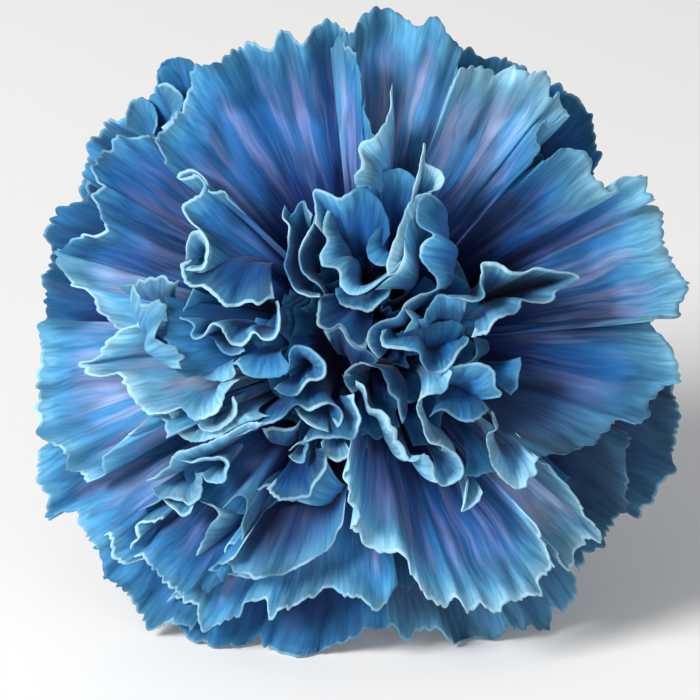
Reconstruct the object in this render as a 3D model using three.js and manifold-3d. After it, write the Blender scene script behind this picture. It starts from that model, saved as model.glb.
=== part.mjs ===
// A dyed carnation, cut with a short stem and lying on a table: the bloom leans on two low petals and
// the stem rests on its cut end, so the open face looks forwards and up.
// Everything is drawn in the flower's own frame, x to the right and y up in the face of the bloom and
// w out along the stem's line, with the calyx mouth at w = 0. It is laid down at the end, +Z up.
import * as THREE from "three";
import { mergeVertices } from "three/addons/utils/BufferGeometryUtils.js";
import Module from "manifold-3d";

const wasm = await Module();
wasm.setup();

// Driving dimensions, in millimetres and degrees
const LEAN = 27; // how far the flower's line rises above the table
const CROWN = 20; // height of the bloom's middle over the calyx mouth
const DOME_RADIUS = 44; // radius at which the dome of petal rims would reach the mouth
const PETAL_THICK = 0.7;
const RIM_STEP = 5.2; // distance between a rim's points, here and at most eight steps a petal
const PLEAT_LENGTH = 13; // one long fold in this much of a petal's rim
const ROOT_HEIGHT = 1.3; // height over the calyx mouth at which the petals leave the claws
const GAP = 0.3; // clearance between pieces that touch
const CALYX_LENGTH = 28;
const CALYX_RADIUS = 6.7; // outside, at its widest
const CALYX_FOOT = 0.62; // radius at its foot, as a share of the widest
const CALYX_FULL = 1.35; // how soon it has swelled out: 1 is at the mouth
const CALYX_WALL = 0.9;
const CALYX_TEETH = 5;
const NOTCH_AT = -5.5; // the low points between the calyx teeth
const TOOTH_TIP = 0.8; // how far the teeth reach over the mouth
const SCALE_COUNT = 4; // the scales of the epicalyx
const SCALE_WALL = 0.8;
const SCALE_FOOT = 0.4; // heights of the scales over the calyx foot
const SCALE_NOTCH = 3;
const SCALE_TIP = 10;
const SCALE_TURN = 0.3; // how far the scales are turned from the teeth, in radians
const RECEPTACLE_HEIGHT = 2.2; // how far the stem's top rises into the calyx
const STEM_LENGTH = 48.9; // below the calyx
const STEM_RADIUS = 1.9;
const NECK = 5; // length over which the stem widens under the calyx
const JOINT_BELOW = 33; // from the calyx down to the swollen joint that carries the leaves
const JOINT_RADIUS = 2.9;
const JOINT_SPREAD = 4; // the joint's swelling fades out this far above and below it
const LEAF_LENGTH = 33;
const LEAF_WIDTH = 3.2;
const LEAF_THICK = 0.8;
const LEAF_SPREAD = 14; // how far the leaf's tip stands out from the joint
const LEAF_REACH = 0.86; // how much of its length the leaf reaches along the stem
const LEAF_CHANNEL = 0.55; // depth of the channel along its middle
const TABLE_SIZE = 400;
const PRESSED = 0.7; // how much the low petals and the cut end are flattened by the table
const FINEST = 0.002; // no two points of a joined piece lie closer than this

// The petals' layers, from the heart out. Each petal leaves the claw bundle at its root radius,
// climbs to its shoulder and bends out to its rim. shoulder is the share of the way out at which it
// bends, rise the height of that bend, claw the width of its root, pleat the depth of its folds and
// rows how many steps it is drawn in from root to rim.
const LAYERS = {
  heart: { root: 1.5, shoulder: 0.2, rise: 15, claw: 1.6, pleat: 0.3, rows: 3 },
  inner: { root: 2.6, shoulder: 0.25, rise: 14.5, claw: 2, pleat: 0.4, rows: 3 },
  middle: { root: 3.6, shoulder: 0.33, rise: 13, claw: 2.6, pleat: 0.7, rows: 4 },
  outer: { root: 4.3, shoulder: 0.42, rise: 11, claw: 3.4, pleat: 1, rows: 4 },
  back: { root: 4.7, shoulder: 0.45, rise: 7.5, claw: 3.4, pleat: 1, rows: 4 },
};

// One line for each petal: its layer, how far its rim stands over the dome, how deep it is cupped, and
// its rim as x, y pairs from one side edge to the other, as the open face shows them.
const PETALS = [
  // North and north-east
  ["outer", 0.5, 1, [-4.5, 36, -1.3, 38.6, 0.8, 40.4, 3.5, 40.5, 6.3, 39.2, 8.8, 39.5, 11.4, 36.6,
    11.8, 33.3]],
  ["outer", 1.5, 2, [10.5, 31, 12.5, 33.6, 15.9, 33.5, 17.8, 33.3, 22.3, 32.7, 22.8, 30.4, 24.2, 29,
    24.3, 26.8, 22, 26.8, 21.3, 23.5, 18.3, 19.8]],
  ["back", -3, 0, [7, 35, 12.5, 35.9, 16, 35, 19.8, 33.5, 23, 31]],
  ["back", -4, 0, [20, 32, 24.8, 30.5, 28, 28.2, 29.2, 24.3, 28.4, 20.5, 26, 17.5]],
  ["outer", 0.5, 1, [17, 19.8, 20, 20.6, 23, 22.5, 25.8, 23, 28, 21.8, 28.7, 19.4, 31.7, 18.2, 34, 19.7,
    35.2, 19.2, 35.8, 17]],
  ["outer", -0.5, 2, [33.5, 17.5, 36.3, 15.8, 37.7, 10.4, 39.8, 6.8, 38.5, 3.8, 35.2, 1.8]],
  // East and south-east
  ["outer", 1.5, 1.5, [34.5, 2.5, 37.9, -0.4, 38.7, -5.5, 35, -7.8, 34.8, -10.5, 31.5, -10.4, 26.5, -13.6,
    21, -14.6]],
  ["back", -4, 0, [38, -4, 39.1, -10.5, 38.8, -16.6, 36, -20, 33.8, -22.4, 31.8, -19.2]],
  ["back", -2, 0, [33, -12, 32.2, -18, 31.7, -22.4, 29.6, -25.6, 26, -28.5]],
  ["outer", 0, 1, [20.6, -23, 22.5, -25.4, 24.8, -28.4, 27.2, -26.3, 29.3, -25.1, 28, -23.3, 26.3, -20.5,
    21.3, -15]],
  ["outer", 2, 1, [-2.6, -17, -0.8, -21.6, -2, -23.8, 0, -25.9, 4.8, -27.4, 8, -31.8, 11.2, -32.4,
    13.8, -33, 17.5, -33.2, 21.4, -31.5, 23.3, -29.4, 21.3, -24.6]],
  ["back", -5.4, 0, [2, -35.7, 6, -37.2, 11, -38.4, 13.2, -40.3, 16.5, -37.7, 20.4, -35.6, 22.5, -36.3,
    24.8, -34.3, 26, -30]],
  // South and south-west
  ["outer", -1.5, 1, [-24.3, -32.5, -21.6, -33.7, -18, -35.5, -14.8, -33, -12, -34.8, -7.4, -32.7,
    -2.8, -31.8, 1.2, -33.6, 4, -31]],
  ["back", -3.5, 0, [-24, -37, -18.5, -39.3, -13.2, -38, -9, -40.6, -5.5, -39, -0.7, -36.9, 3, -36]],
  ["back", -2, 0, [-33.7, -26, -32.3, -31, -29, -33.8, -27, -36.7, -22, -37]],
  ["outer", 1, 1, [-27, -28, -25.5, -29.8, -22.7, -31.8, -19.2, -31.4, -18, -30, -16, -27]],
  ["middle", -1, 2, [-20.8, -20.3, -18.4, -22, -21.2, -26.5, -18, -29.2, -14, -29.9, -10, -29.4,
    -4.2, -25.5, -2.9, -22.5]],
  ["middle", 1.5, 2, [-17.5, -21, -14.4, -20.5, -15.2, -24, -17.3, -27.2, -15.5, -29.2, -12, -27.5]],
  // West
  ["outer", 0, 1, [-40, -13, -40.9, -17, -39.3, -22.6, -36.2, -21.6, -33.8, -25.5, -30, -26.5]],
  ["middle", 1, 2, [-26.8, -17.9, -24, -15.7, -20.5, -15.3, -17.5, -16, -20, -18.5, -22.9, -20,
    -26, -20.5]],
  ["middle", 0, 2, [-21.5, -21, -24.4, -21, -28.3, -23.2, -29.5, -27, -27, -26.2, -24, -25]],
  ["outer", 0.5, 1, [-35.5, -23, -34, -25.6, -31, -26.8, -28, -27.6, -25, -28.5]],
  ["outer", 1.5, 2, [-40, 2.3, -41, -5, -41.2, -11.5, -37, -14.5, -33, -17.2, -30.5, -13.2, -25.7, -9.6,
    -24.4, -12.4]],
  ["outer", 3, 2, [-29, 4.5, -26.7, 3.9, -31.8, -1.2, -34.9, -3.4, -30.3, -4.9, -28.5, -8.1, -25, -9.5]],
  ["outer", 0.5, 1, [-38.4, 11, -37.5, 7.6, -33.2, 3.3, -29.8, 0.8, -25.4, 1]],
  ["outer", 1, 1, [-26, 25.3, -31.5, 24.6, -34.2, 21.3, -33.2, 18.5, -32.8, 12.8, -38.2, 10.6]],
  ["back", -3, 0, [-34.8, 19.8, -38.5, 15.2, -40.2, 11.5, -40.2, 2.3, -39, -2]],
  ["back", -3, 0, [-36, 17, -34.3, 24.4, -30.5, 27, -27.3, 29.2, -25, 33.9, -21.4, 34]],
  // North-west
  ["outer", 1.5, 2, [-20.5, 19, -25.3, 23, -25.2, 26, -22, 30, -18.3, 34.4, -12, 36.2, -8, 36.4, -3.8, 38.5,
    -1.2, 34.4, 1, 24.7]],
  ["middle", 0.5, 2, [-17, 17, -19.4, 18.2, -23.4, 19.8, -20.6, 17.5, -22.3, 14.9, -20.4, 12.9,
    -21.3, 8.2]],
  // The standing petals round the middle
  ["middle", 3, 1, [3.1, 31.5, 2.8, 27.4, 0.1, 24, -0.7, 20.8, -1.2, 18.2]],
  ["middle", 1, 1, [5.5, 16.5, 6.8, 20.8, 7.3, 23.6, 8.9, 20.6, 9.5, 18.4, 7.8, 15.5]],
  ["inner", 0, 0, [-10.1, 16.2, -9.5, 12, -10, 8, -8.2, 5.2, -5.6, 5]],
  ["inner", 0.5, 0, [-0.8, 18.1, -4, 17.3, -6.4, 17.7, -6.6, 13.5, -8.1, 9, -5.6, 6.2, -5, 4.6]],
  ["heart", 0, 0, [-4.8, 15.5, -5, 11.6, -5.5, 8.6, -3.3, 6.5, -1.1, 5.3, 2.6, 8, 4.5, 10.5, 5, 14]],
  ["heart", -2, 0, [-5, 5, -5.9, 2, -3.9, 1, -1.7, -0.9, -0.7, -2]],
  ["inner", 0, 0, [6.35, 13.8, 6.6, 10, 8.6, 6.7, 6.35, 4.85, 3.2, 2.2, 0.5, 0.2, 1.5, -2.6]],
  ["inner", 1, 4, [-16, -3.2, -14.5, -4.8, -9.7, -4.1, -7.6, -1.3, -5, -3.6, -9.3, -7.2, -11.4, -6.2]],
  ["middle", 1.5, 7, [-11, 3.5, -16.3, 3.8, -20.4, 6.2, -23, 2.8, -19.5, 1.2, -15.8, -0.5, -11.1, 0]],
  ["middle", 0, 2, [-14, -10, -18.6, -11.2, -22.3, -13, -20.9, -9.8, -23.4, -8.5, -18.5, -6, -16.5, -8.5]],
  ["middle", 0, 1, [-21.8, 12, -22.3, 9.2, -22.2, 6.2, -19, 5.4]],
  // East tongue and the ruffles to the south-east
  ["middle", 1, 1, [10.4, 4.9, 13.9, 4.6, 14.5, 9.2, 19.2, 7.7, 26, 7.5, 22.6, 4, 17, 2.2, 12.6, -0.2,
    9.3, -4.2]],
  ["heart", 0, 0, [0.9, 1.2, 2.4, -1.3, 6.7, -2, 8.4, -4.3, 10.8, -3]],
  ["middle", 0.5, 2, [10.3, -4, 9.4, -6.8, 6.4, -7.7, 7.2, -11.3, 11.7, -15.6, 10.8, -17.9, 8.4, -17.2]],
  ["middle", -0.5, 1, [10, -3.9, 14.3, -3.4, 18.8, -3.4, 17.6, -7.5, 15.9, -11.4, 15.3, -14.5, 18.1, -18.4,
    21.1, -15.5]],
  ["inner", 0.5, 0, [-1.1, -5.4, 0.3, -8.8, 2.8, -10.4, 5.2, -14.6, 7, -15.2, 8.8, -18.1]],
  ["heart", 0, 0, [-2.6, -4.5, 0.2, -3.5, 2.4, -5.4, 3.9, -8, 4.5, -10.6]],
  // South ruffles under the middle
  ["inner", -0.5, 2, [-17, -12.8, -12, -9.9, -8.6, -8.4, -3.5, -8.8, -2.8, -12, -7.1, -11, -9.6, -14]],
  ["inner", -0.5, 1, [-14, -18.7, -9, -20.1, -5.8, -16.7, -2.4, -20.6]],
];

// Cuts and joins

function solidFrom(geometry) {
  const bare = geometry.clone();
  bare.deleteAttribute("normal");
  bare.deleteAttribute("uv");
  const whole = mergeVertices(bare, 1e-4);
  return new wasm.Manifold(
    new wasm.Mesh({
      numProp: 3,
      vertProperties: new Float32Array(whole.attributes.position.array),
      triVerts: new Uint32Array(whole.index.array),
    }),
  );
}

function geometryFrom(solid) {
  const mesh = solid.getMesh();
  const geometry = new THREE.BufferGeometry();
  geometry.setAttribute("position", new THREE.BufferAttribute(mesh.vertProperties, 3));
  geometry.setIndex(new THREE.BufferAttribute(mesh.triVerts, 1));
  return geometry;
}

// The largest body of a solid, with its points on a fine grid: hollows that the joining sealed are
// filled, and loose scraps and slivers dropped.
function oneBody(solid) {
  const geometry = geometryFrom(solid);
  const { array } = geometry.attributes.position;
  array.forEach((value, i) => (array[i] = Math.round(value / FINEST) * FINEST));
  const bodies = solidFrom(geometry).decompose();
  const largest = bodies.reduce((best, body) => (body.volume() > best.volume() ? body : best));
  return bodies.length > 1 ? oneBody(largest) : largest;
}

// A closed skin on a grid of points, ring[row][column]. Rows close on themselves where the piece goes
// round, and a sheet is two such layers with the same triangles and a wall along its edge.

function closedFrom(points, triangles) {
  const geometry = new THREE.BufferGeometry().setFromPoints(points);
  geometry.setIndex(triangles);
  return solidFrom(geometry);
}

function sheet(grid, thickness) {
  const rows = grid.length;
  const columns = grid[0].length;
  const front = [];
  const behind = [];
  for (let row = 0; row < rows; row++) {
    for (let column = 0; column < columns; column++) {
      const along = grid[row][Math.min(column + 1, columns - 1)].clone();
      along.sub(grid[row][Math.max(column - 1, 0)]);
      const across = grid[Math.min(row + 1, rows - 1)][column].clone();
      across.sub(grid[Math.max(row - 1, 0)][column]);
      const half = along.cross(across).normalize().multiplyScalar(thickness / 2);
      front.push(grid[row][column].clone().add(half));
      behind.push(grid[row][column].clone().sub(half));
    }
  }
  const other = rows * columns;
  const at = (row, column) => row * columns + column;
  const triangles = [];
  for (let row = 0; row + 1 < rows; row++) {
    for (let column = 0; column + 1 < columns; column++) {
      const [a, b] = [at(row, column), at(row, column + 1)];
      const [c, d] = [at(row + 1, column), at(row + 1, column + 1)];
      triangles.push(a, b, d, a, d, c);
      triangles.push(other + a, other + d, other + b, other + a, other + c, other + d);
    }
  }
  const edge = [];
  for (let column = 0; column < columns; column++) edge.push(at(0, column));
  for (let row = 1; row < rows; row++) edge.push(at(row, columns - 1));
  for (let column = columns - 2; column >= 0; column--) edge.push(at(rows - 1, column));
  for (let row = rows - 2; row > 0; row--) edge.push(at(row, 0));
  edge.forEach((a, i) => {
    const b = edge[(i + 1) % edge.length];
    triangles.push(a, other + b, b, a, other + a, other + b);
  });
  return closedFrom([...front, ...behind], triangles);
}

// A tube with a wall: radius(height) outside, and a top edge that may rise and fall round it.
function toothedTube({ columns, rows, radius, wall, bottom, top }) {
  const points = [];
  for (const side of [0, wall]) {
    for (let row = 0; row <= rows; row++) {
      for (let column = 0; column < columns; column++) {
        const angle = (2 * Math.PI * column) / columns;
        const height = bottom + ((top(angle) - bottom) * row) / rows;
        const reach = radius(height) - side;
        points.push(new THREE.Vector3(reach * Math.cos(angle), reach * Math.sin(angle), height));
      }
    }
  }
  const inside = (rows + 1) * columns;
  const triangles = [];
  for (let column = 0; column < columns; column++) {
    const next = (column + 1) % columns;
    for (let row = 0; row < rows; row++) {
      const [a, b] = [row * columns + column, row * columns + next];
      const [c, d] = [a + columns, b + columns];
      triangles.push(a, b, d, a, d, c);
      triangles.push(inside + a, inside + d, inside + b, inside + a, inside + c, inside + d);
    }
    triangles.push(column, inside + next, next, column, inside + column, inside + next);
    const [high, highNext] = [rows * columns + column, rows * columns + next];
    triangles.push(high, highNext, inside + highNext, high, inside + highNext, inside + high);
  }
  return closedFrom(points, triangles);
}

// A turned piece round the flower's line, from [radius, w] pairs that start and end on it.
function turned(profile, sides) {
  const outline = profile.map(([radius, w]) => new THREE.Vector2(radius, w));
  return solidFrom(new THREE.LatheGeometry(outline, sides).rotateX(Math.PI / 2));
}

// Petals

const domeHeight = (radius) => CROWN * (1 - (radius / DOME_RADIUS) ** 2);

function rimOf(numbers) {
  const points = [];
  for (let i = 0; i < numbers.length; i += 2) {
    points.push(new THREE.Vector3(numbers[i], numbers[i + 1], 0));
  }
  const curve = new THREE.CatmullRomCurve3(points, false, "centripetal");
  const length = curve.getLength();
  const steps = THREE.MathUtils.clamp(Math.round(length / RIM_STEP), 4, 8);
  return { rim: curve.getSpacedPoints(steps), length };
}

function petal([layer, lift, cup, numbers], index) {
  const { root, shoulder, rise, claw, pleat, rows } = LAYERS[layer];
  const { rim, length } = rimOf(numbers);
  const middle = rim.reduce((sum, point) => sum.add(point), new THREE.Vector3()).divideScalar(rim.length);
  const outward = middle.clone().normalize();
  const sideways = new THREE.Vector3(-outward.y, outward.x, 0);
  const turn = Math.sign(rim.at(-1).clone().sub(rim[0]).dot(sideways));
  const grid = [];
  for (let row = 0; row <= rows; row++) {
    const v = row / rows;
    grid.push(
      rim.map((edge, column) => {
        const s = column / (rim.length - 1);
        const foot = outward.clone().multiplyScalar(root);
        foot.addScaledVector(sideways, turn * claw * (s - 0.5));
        foot.z = ROOT_HEIGHT;
        const bend = foot.clone().lerp(edge, shoulder);
        bend.z = rise - cup * Math.sin(Math.PI * s);
        const tip = edge.clone();
        tip.z = domeHeight(edge.length()) + lift;
        const point = foot.multiplyScalar((1 - v) ** 2);
        point.addScaledVector(bend, 2 * v * (1 - v)).addScaledVector(tip, v * v);
        point.z += pleat * v * v * Math.sin((2 * Math.PI * s * length) / PLEAT_LENGTH + index);
        return point;
      }),
    );
  }
  return sheet(grid, PETAL_THICK);
}

// The claws of all the petals, packed into the calyx, with the crowded heart above them, as radius and
// height over the mouth
const CLAW_SIDES = 20;
const CLAWS = [
  [0, -21],
  [2.6, -21],
  [4.4, -17],
  [5, -9],
  [5.3, 0],
  [5.2, 2.6],
  [4, 6],
  [2, 9],
  [0, 10],
];

function bloomSolid() {
  let bloom = turned(CLAWS, CLAW_SIDES);
  PETALS.forEach((line, index) => {
    bloom = bloom.add(petal(line, index));
  });
  return oneBody(bloom);
}

// Calyx, epicalyx, pistil

const TUBE_SIDES = 40;
const calyxRadius = (w) => {
  const t = THREE.MathUtils.clamp(1 + w / CALYX_LENGTH, 0, 1);
  const swell = Math.sin((Math.PI / 2) * Math.min(1, CALYX_FULL * t));
  return CALYX_RADIUS * (CALYX_FOOT + (1 - CALYX_FOOT) * swell);
};
const toothed = (angle, teeth, low, high) => {
  const phase = (angle * teeth) / (2 * Math.PI);
  const across = Math.abs(2 * (phase - Math.floor(phase)) - 1);
  return low + (high - low) * across;
};

function calyxSolid() {
  return toothedTube({
    columns: TUBE_SIDES,
    rows: 6,
    radius: calyxRadius,
    wall: CALYX_WALL,
    bottom: -CALYX_LENGTH,
    top: (angle) => toothed(angle, CALYX_TEETH, NOTCH_AT, TOOTH_TIP),
  });
}

// Four scales clasp the foot of the calyx in one collar.
function epicalyxSolid() {
  const foot = -CALYX_LENGTH;
  return toothedTube({
    columns: TUBE_SIDES,
    rows: 3,
    radius: (w) => calyxRadius(w) + GAP + SCALE_WALL,
    wall: SCALE_WALL,
    bottom: foot + SCALE_FOOT,
    top: (angle) => toothed(angle + SCALE_TURN, SCALE_COUNT, foot + SCALE_NOTCH, foot + SCALE_TIP),
  });
}

// The seed vessel, drawn up into the stub of its styles under the claws, as radius and height over its seat
const PISTIL_SIDES = 14;
const PISTIL = [
  [0, 0],
  [1.5, 0],
  [2.1, 1.2],
  [2.2, 2.4],
  [1.5, 3.6],
  [0.6, 4.3],
  [0, 4.4],
];
const RECEPTACLE_TOP = -CALYX_LENGTH + RECEPTACLE_HEIGHT;

function pistilSolid() {
  const seat = RECEPTACLE_TOP + GAP;
  return turned(
    PISTIL.map(([radius, height]) => [radius, seat + height]),
    PISTIL_SIDES,
  );
}

// Stem and leaves

const JOINT_AT = -CALYX_LENGTH - JOINT_BELOW;
const CUT_END = -CALYX_LENGTH - STEM_LENGTH;
const STEM_SIDES = 18;

// The stem is straight but for its joint and its top, which fills the calyx foot as the receptacle.
function stemSolid() {
  const seat = calyxRadius(-CALYX_LENGTH) - CALYX_WALL - GAP;
  const shoulder = 1.5; // where the joint is almost at its thickest
  const edge = 0.6; // the receptacle's top edge is taken off by this much
  return turned(
    [
      [0, CUT_END],
      [STEM_RADIUS, CUT_END],
      [STEM_RADIUS, JOINT_AT - JOINT_SPREAD],
      [JOINT_RADIUS - 0.3, JOINT_AT - shoulder],
      [JOINT_RADIUS, JOINT_AT],
      [JOINT_RADIUS - 0.4, JOINT_AT + shoulder],
      [STEM_RADIUS, JOINT_AT + JOINT_SPREAD],
      [STEM_RADIUS, -CALYX_LENGTH - NECK],
      [seat, -CALYX_LENGTH - edge],
      [seat, RECEPTACLE_TOP - edge],
      [seat - 0.8, RECEPTACLE_TOP],
      [0, RECEPTACLE_TOP],
    ],
    STEM_SIDES,
  );
}

// A narrow leaf, channelled along its middle, that clasps the joint and arches out beside the stem: it
// climbs beside the stem to a knee at 0.6 of its length, is widest by a tenth and tapers to its tip.
function leafSolid(side, lift) {
  const rows = 12;
  const across = [-1, -0.5, 0, 0.5, 1];
  const line = new THREE.QuadraticBezierCurve3(
    new THREE.Vector3(side * (JOINT_RADIUS + GAP + LEAF_THICK / 2), 0, JOINT_AT - 0.5),
    new THREE.Vector3(side * (JOINT_RADIUS + 2), lift * 0.3, JOINT_AT + LEAF_LENGTH * 0.6),
    new THREE.Vector3(side * (JOINT_RADIUS + LEAF_SPREAD), lift, JOINT_AT + LEAF_LENGTH * LEAF_REACH),
  );
  const grid = line.getSpacedPoints(rows).map((middle, row) => {
    const t = row / rows;
    const half = 0.5 * LEAF_WIDTH * (0.25 + 0.75 * Math.min(1, 6 * t + 0.4)) * (1.02 - t ** 3);
    const channel = LEAF_CHANNEL * (1 - 0.6 * t);
    return across.map((u) => {
      const point = middle.clone();
      point.y += u * half;
      point.x -= side * channel * u * u;
      return point;
    });
  });
  return sheet(grid, LEAF_THICK);
}

// Laying down: the lowest petals and the stem's cut end meet the table at z = 0

const LEAN_ANGLE = THREE.MathUtils.degToRad(LEAN);
const MOUTH_HEIGHT = -CUT_END * Math.sin(LEAN_ANGLE) + STEM_RADIUS * Math.cos(LEAN_ANGLE) - PRESSED;
const laidDown = new THREE.Matrix4()
  .makeTranslation(0, 0, MOUTH_HEIGHT)
  .multiply(new THREE.Matrix4().makeRotationX(Math.PI / 2 - LEAN_ANGLE));
const table = solidFrom(
  new THREE.BoxGeometry(TABLE_SIZE, TABLE_SIZE, TABLE_SIZE).translate(0, 0, -TABLE_SIZE / 2),
);
const group = new THREE.Group();

function place(name, solid, colour, roughness) {
  const laid = solidFrom(geometryFrom(solid).applyMatrix4(laidDown));
  const pressed = oneBody(laid.subtract(table));
  const material = new THREE.MeshStandardMaterial({ color: colour, roughness, metalness: 0 });
  const mesh = new THREE.Mesh(geometryFrom(pressed), material);
  mesh.name = name;
  group.add(mesh);
}

place("bloom", bloomSolid(), 0x2f6fb4, 0.6);
place("calyx", calyxSolid(), 0x6f9a5c, 0.55);
place("epicalyx", epicalyxSolid(), 0x86a868, 0.6);
place("pistil", pistilSolid(), 0xb9c98a, 0.5);
place("stem", stemSolid(), 0x5f8f55, 0.55);
[
  { side: 1, lift: 5 },
  { side: -1, lift: 3 },
].forEach(({ side, lift }, index) => place(`leaf_${index + 1}`, leafSolid(side, lift), 0x6f9a78, 0.6));

// The origin lies on the table under the middle of the whole flower.
const middle = new THREE.Box3().setFromObject(group).getCenter(new THREE.Vector3());
group.position.set(-middle.x, -middle.y, 0);

export default group;
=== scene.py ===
import itertools
import math

import bpy
import numpy as np
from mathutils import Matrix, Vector


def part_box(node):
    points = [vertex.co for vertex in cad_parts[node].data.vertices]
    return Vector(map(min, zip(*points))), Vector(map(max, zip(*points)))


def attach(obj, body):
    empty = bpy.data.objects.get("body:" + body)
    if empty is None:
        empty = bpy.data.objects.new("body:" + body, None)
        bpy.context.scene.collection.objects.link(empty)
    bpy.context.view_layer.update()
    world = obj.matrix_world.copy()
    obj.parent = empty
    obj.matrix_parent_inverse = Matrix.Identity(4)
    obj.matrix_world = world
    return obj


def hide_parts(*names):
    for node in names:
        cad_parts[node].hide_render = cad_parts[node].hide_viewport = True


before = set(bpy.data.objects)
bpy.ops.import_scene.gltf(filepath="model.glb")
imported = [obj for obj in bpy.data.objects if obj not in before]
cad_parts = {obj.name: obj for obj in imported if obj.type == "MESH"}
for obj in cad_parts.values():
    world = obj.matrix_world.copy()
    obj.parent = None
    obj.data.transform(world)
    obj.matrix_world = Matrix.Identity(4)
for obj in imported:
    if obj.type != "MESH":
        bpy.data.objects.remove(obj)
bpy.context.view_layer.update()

# The studio
# A plain pale table, soft light from the upper left and front, and a long-lens camera that looks straight
# into the face of the bloom, along the flower's own line.
MM = 0.001
LEAN = math.radians(27)  # the flower's line rises this far above the table
CAMERA_AWAY = 800 * MM
NEAREST_SEEN = 50 * MM
FRAME_WIDTH = 87.5 * MM  # what the camera takes in across the bloom
FRAME_MIDDLE = (-2.0, -1.63, 5)  # in the flower's frame
KEY_LIGHT = dict(place=(-0.72, -0.5, 0.62), width=0.42, power=13, colour=(1, 0.99, 0.97))
FILL_LIGHT = dict(place=(0.3, -0.8, 0.3), width=0.7, power=1.2, colour=(0.94, 0.97, 1))
SKY_POWER = 0.36
TABLE_WIDTH = 6000 * MM
TABLE_PALE = (0.93, 0.93, 0.93, 1)
TABLE_ROUGH = 0.8

# The stem's solid is turned round the flower's line, so its box shows where that line lies.
STEM_RADIUS = 1.9
STEM_BOTTOM = -76.9  # along the flower's line, from the mouth of the calyx
PRESSED = 0.7  # how much of the stem's lower edge the table flattens
stem_low, stem_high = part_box("stem")
MOUTH = Vector((
    (stem_low[0] + stem_high[0]) / 2 / MM,
    stem_high[1] / MM - STEM_RADIUS * math.sin(LEAN) + STEM_BOTTOM * math.cos(LEAN),
    -STEM_BOTTOM * math.sin(LEAN) + STEM_RADIUS * math.cos(LEAN) - PRESSED,
))


def laid(points):
    """Points of the flower's frame (x right, y up, w out of the face, in mm) as they lie, in metres."""
    x, y, w = np.moveaxis(np.asarray(points, dtype=float), -1, 0)
    along = (x, y * math.sin(LEAN) - w * math.cos(LEAN), y * math.cos(LEAN) + w * math.sin(LEAN))
    return (np.stack(along, axis=-1) + np.array(MOUTH)) * MM


def look_at(thing, target):
    thing.rotation_euler = (Vector(target) - thing.location).to_track_quat("-Z", "Y").to_euler()


def soft_light(name, target, place, width, power, colour):
    light = bpy.data.lights.new(name, "AREA")
    light.shape = "DISK"
    light.size = width
    light.energy = power
    light.color = colour
    holder = bpy.data.objects.new(name, light)
    holder.location = place
    look_at(holder, target)
    bpy.context.collection.objects.link(holder)


face_middle = Vector(laid(FRAME_MIDDLE))
camera = bpy.data.objects.new("camera", bpy.data.cameras.new("camera"))
camera.location = face_middle + CAMERA_AWAY * Vector((0, -math.cos(LEAN), math.sin(LEAN)))
camera.data.lens = camera.data.sensor_width * CAMERA_AWAY / FRAME_WIDTH
camera.data.clip_start = NEAREST_SEEN
look_at(camera, face_middle)
bpy.context.collection.objects.link(camera)
bpy.context.scene.camera = camera

soft_light("key", face_middle, **KEY_LIGHT)
soft_light("fill", face_middle, **FILL_LIGHT)

world = bpy.data.worlds.new("studio")
world.use_nodes = True
sky = world.node_tree.nodes["Background"].inputs
sky["Color"].default_value = (1, 1, 1, 1)
sky["Strength"].default_value = SKY_POWER
bpy.context.scene.world = world
bpy.context.scene.view_settings.view_transform = "Standard"

bpy.ops.mesh.primitive_plane_add(size=TABLE_WIDTH)
table = bpy.context.object
table.name = "table"
table_paint = bpy.data.materials.new("pale_table")
table_paint.use_nodes = True
table_shader = table_paint.node_tree.nodes["Principled BSDF"]
table_shader.inputs["Base Color"].default_value = TABLE_PALE
table_shader.inputs["Roughness"].default_value = TABLE_ROUGH
table.data.materials.append(table_paint)

# The petals' flesh
# Thin soft petals that drank the dye up through the cut stem. It turns deep and navy towards the claws,
# partly the dye and partly painted shade there, runs in violet and blue streaks along the veins, pales to
# cyan near the fringe and leaves the very edge of each petal almost white, with painted light glowing
# through it. Each petal's tone is partly its own share of the dye and partly painted light and shade.


def smooth(low, high, x):
    t = np.clip((x - low) / (high - low), 0, 1)
    return t * t * (3 - 2 * t)


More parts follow.
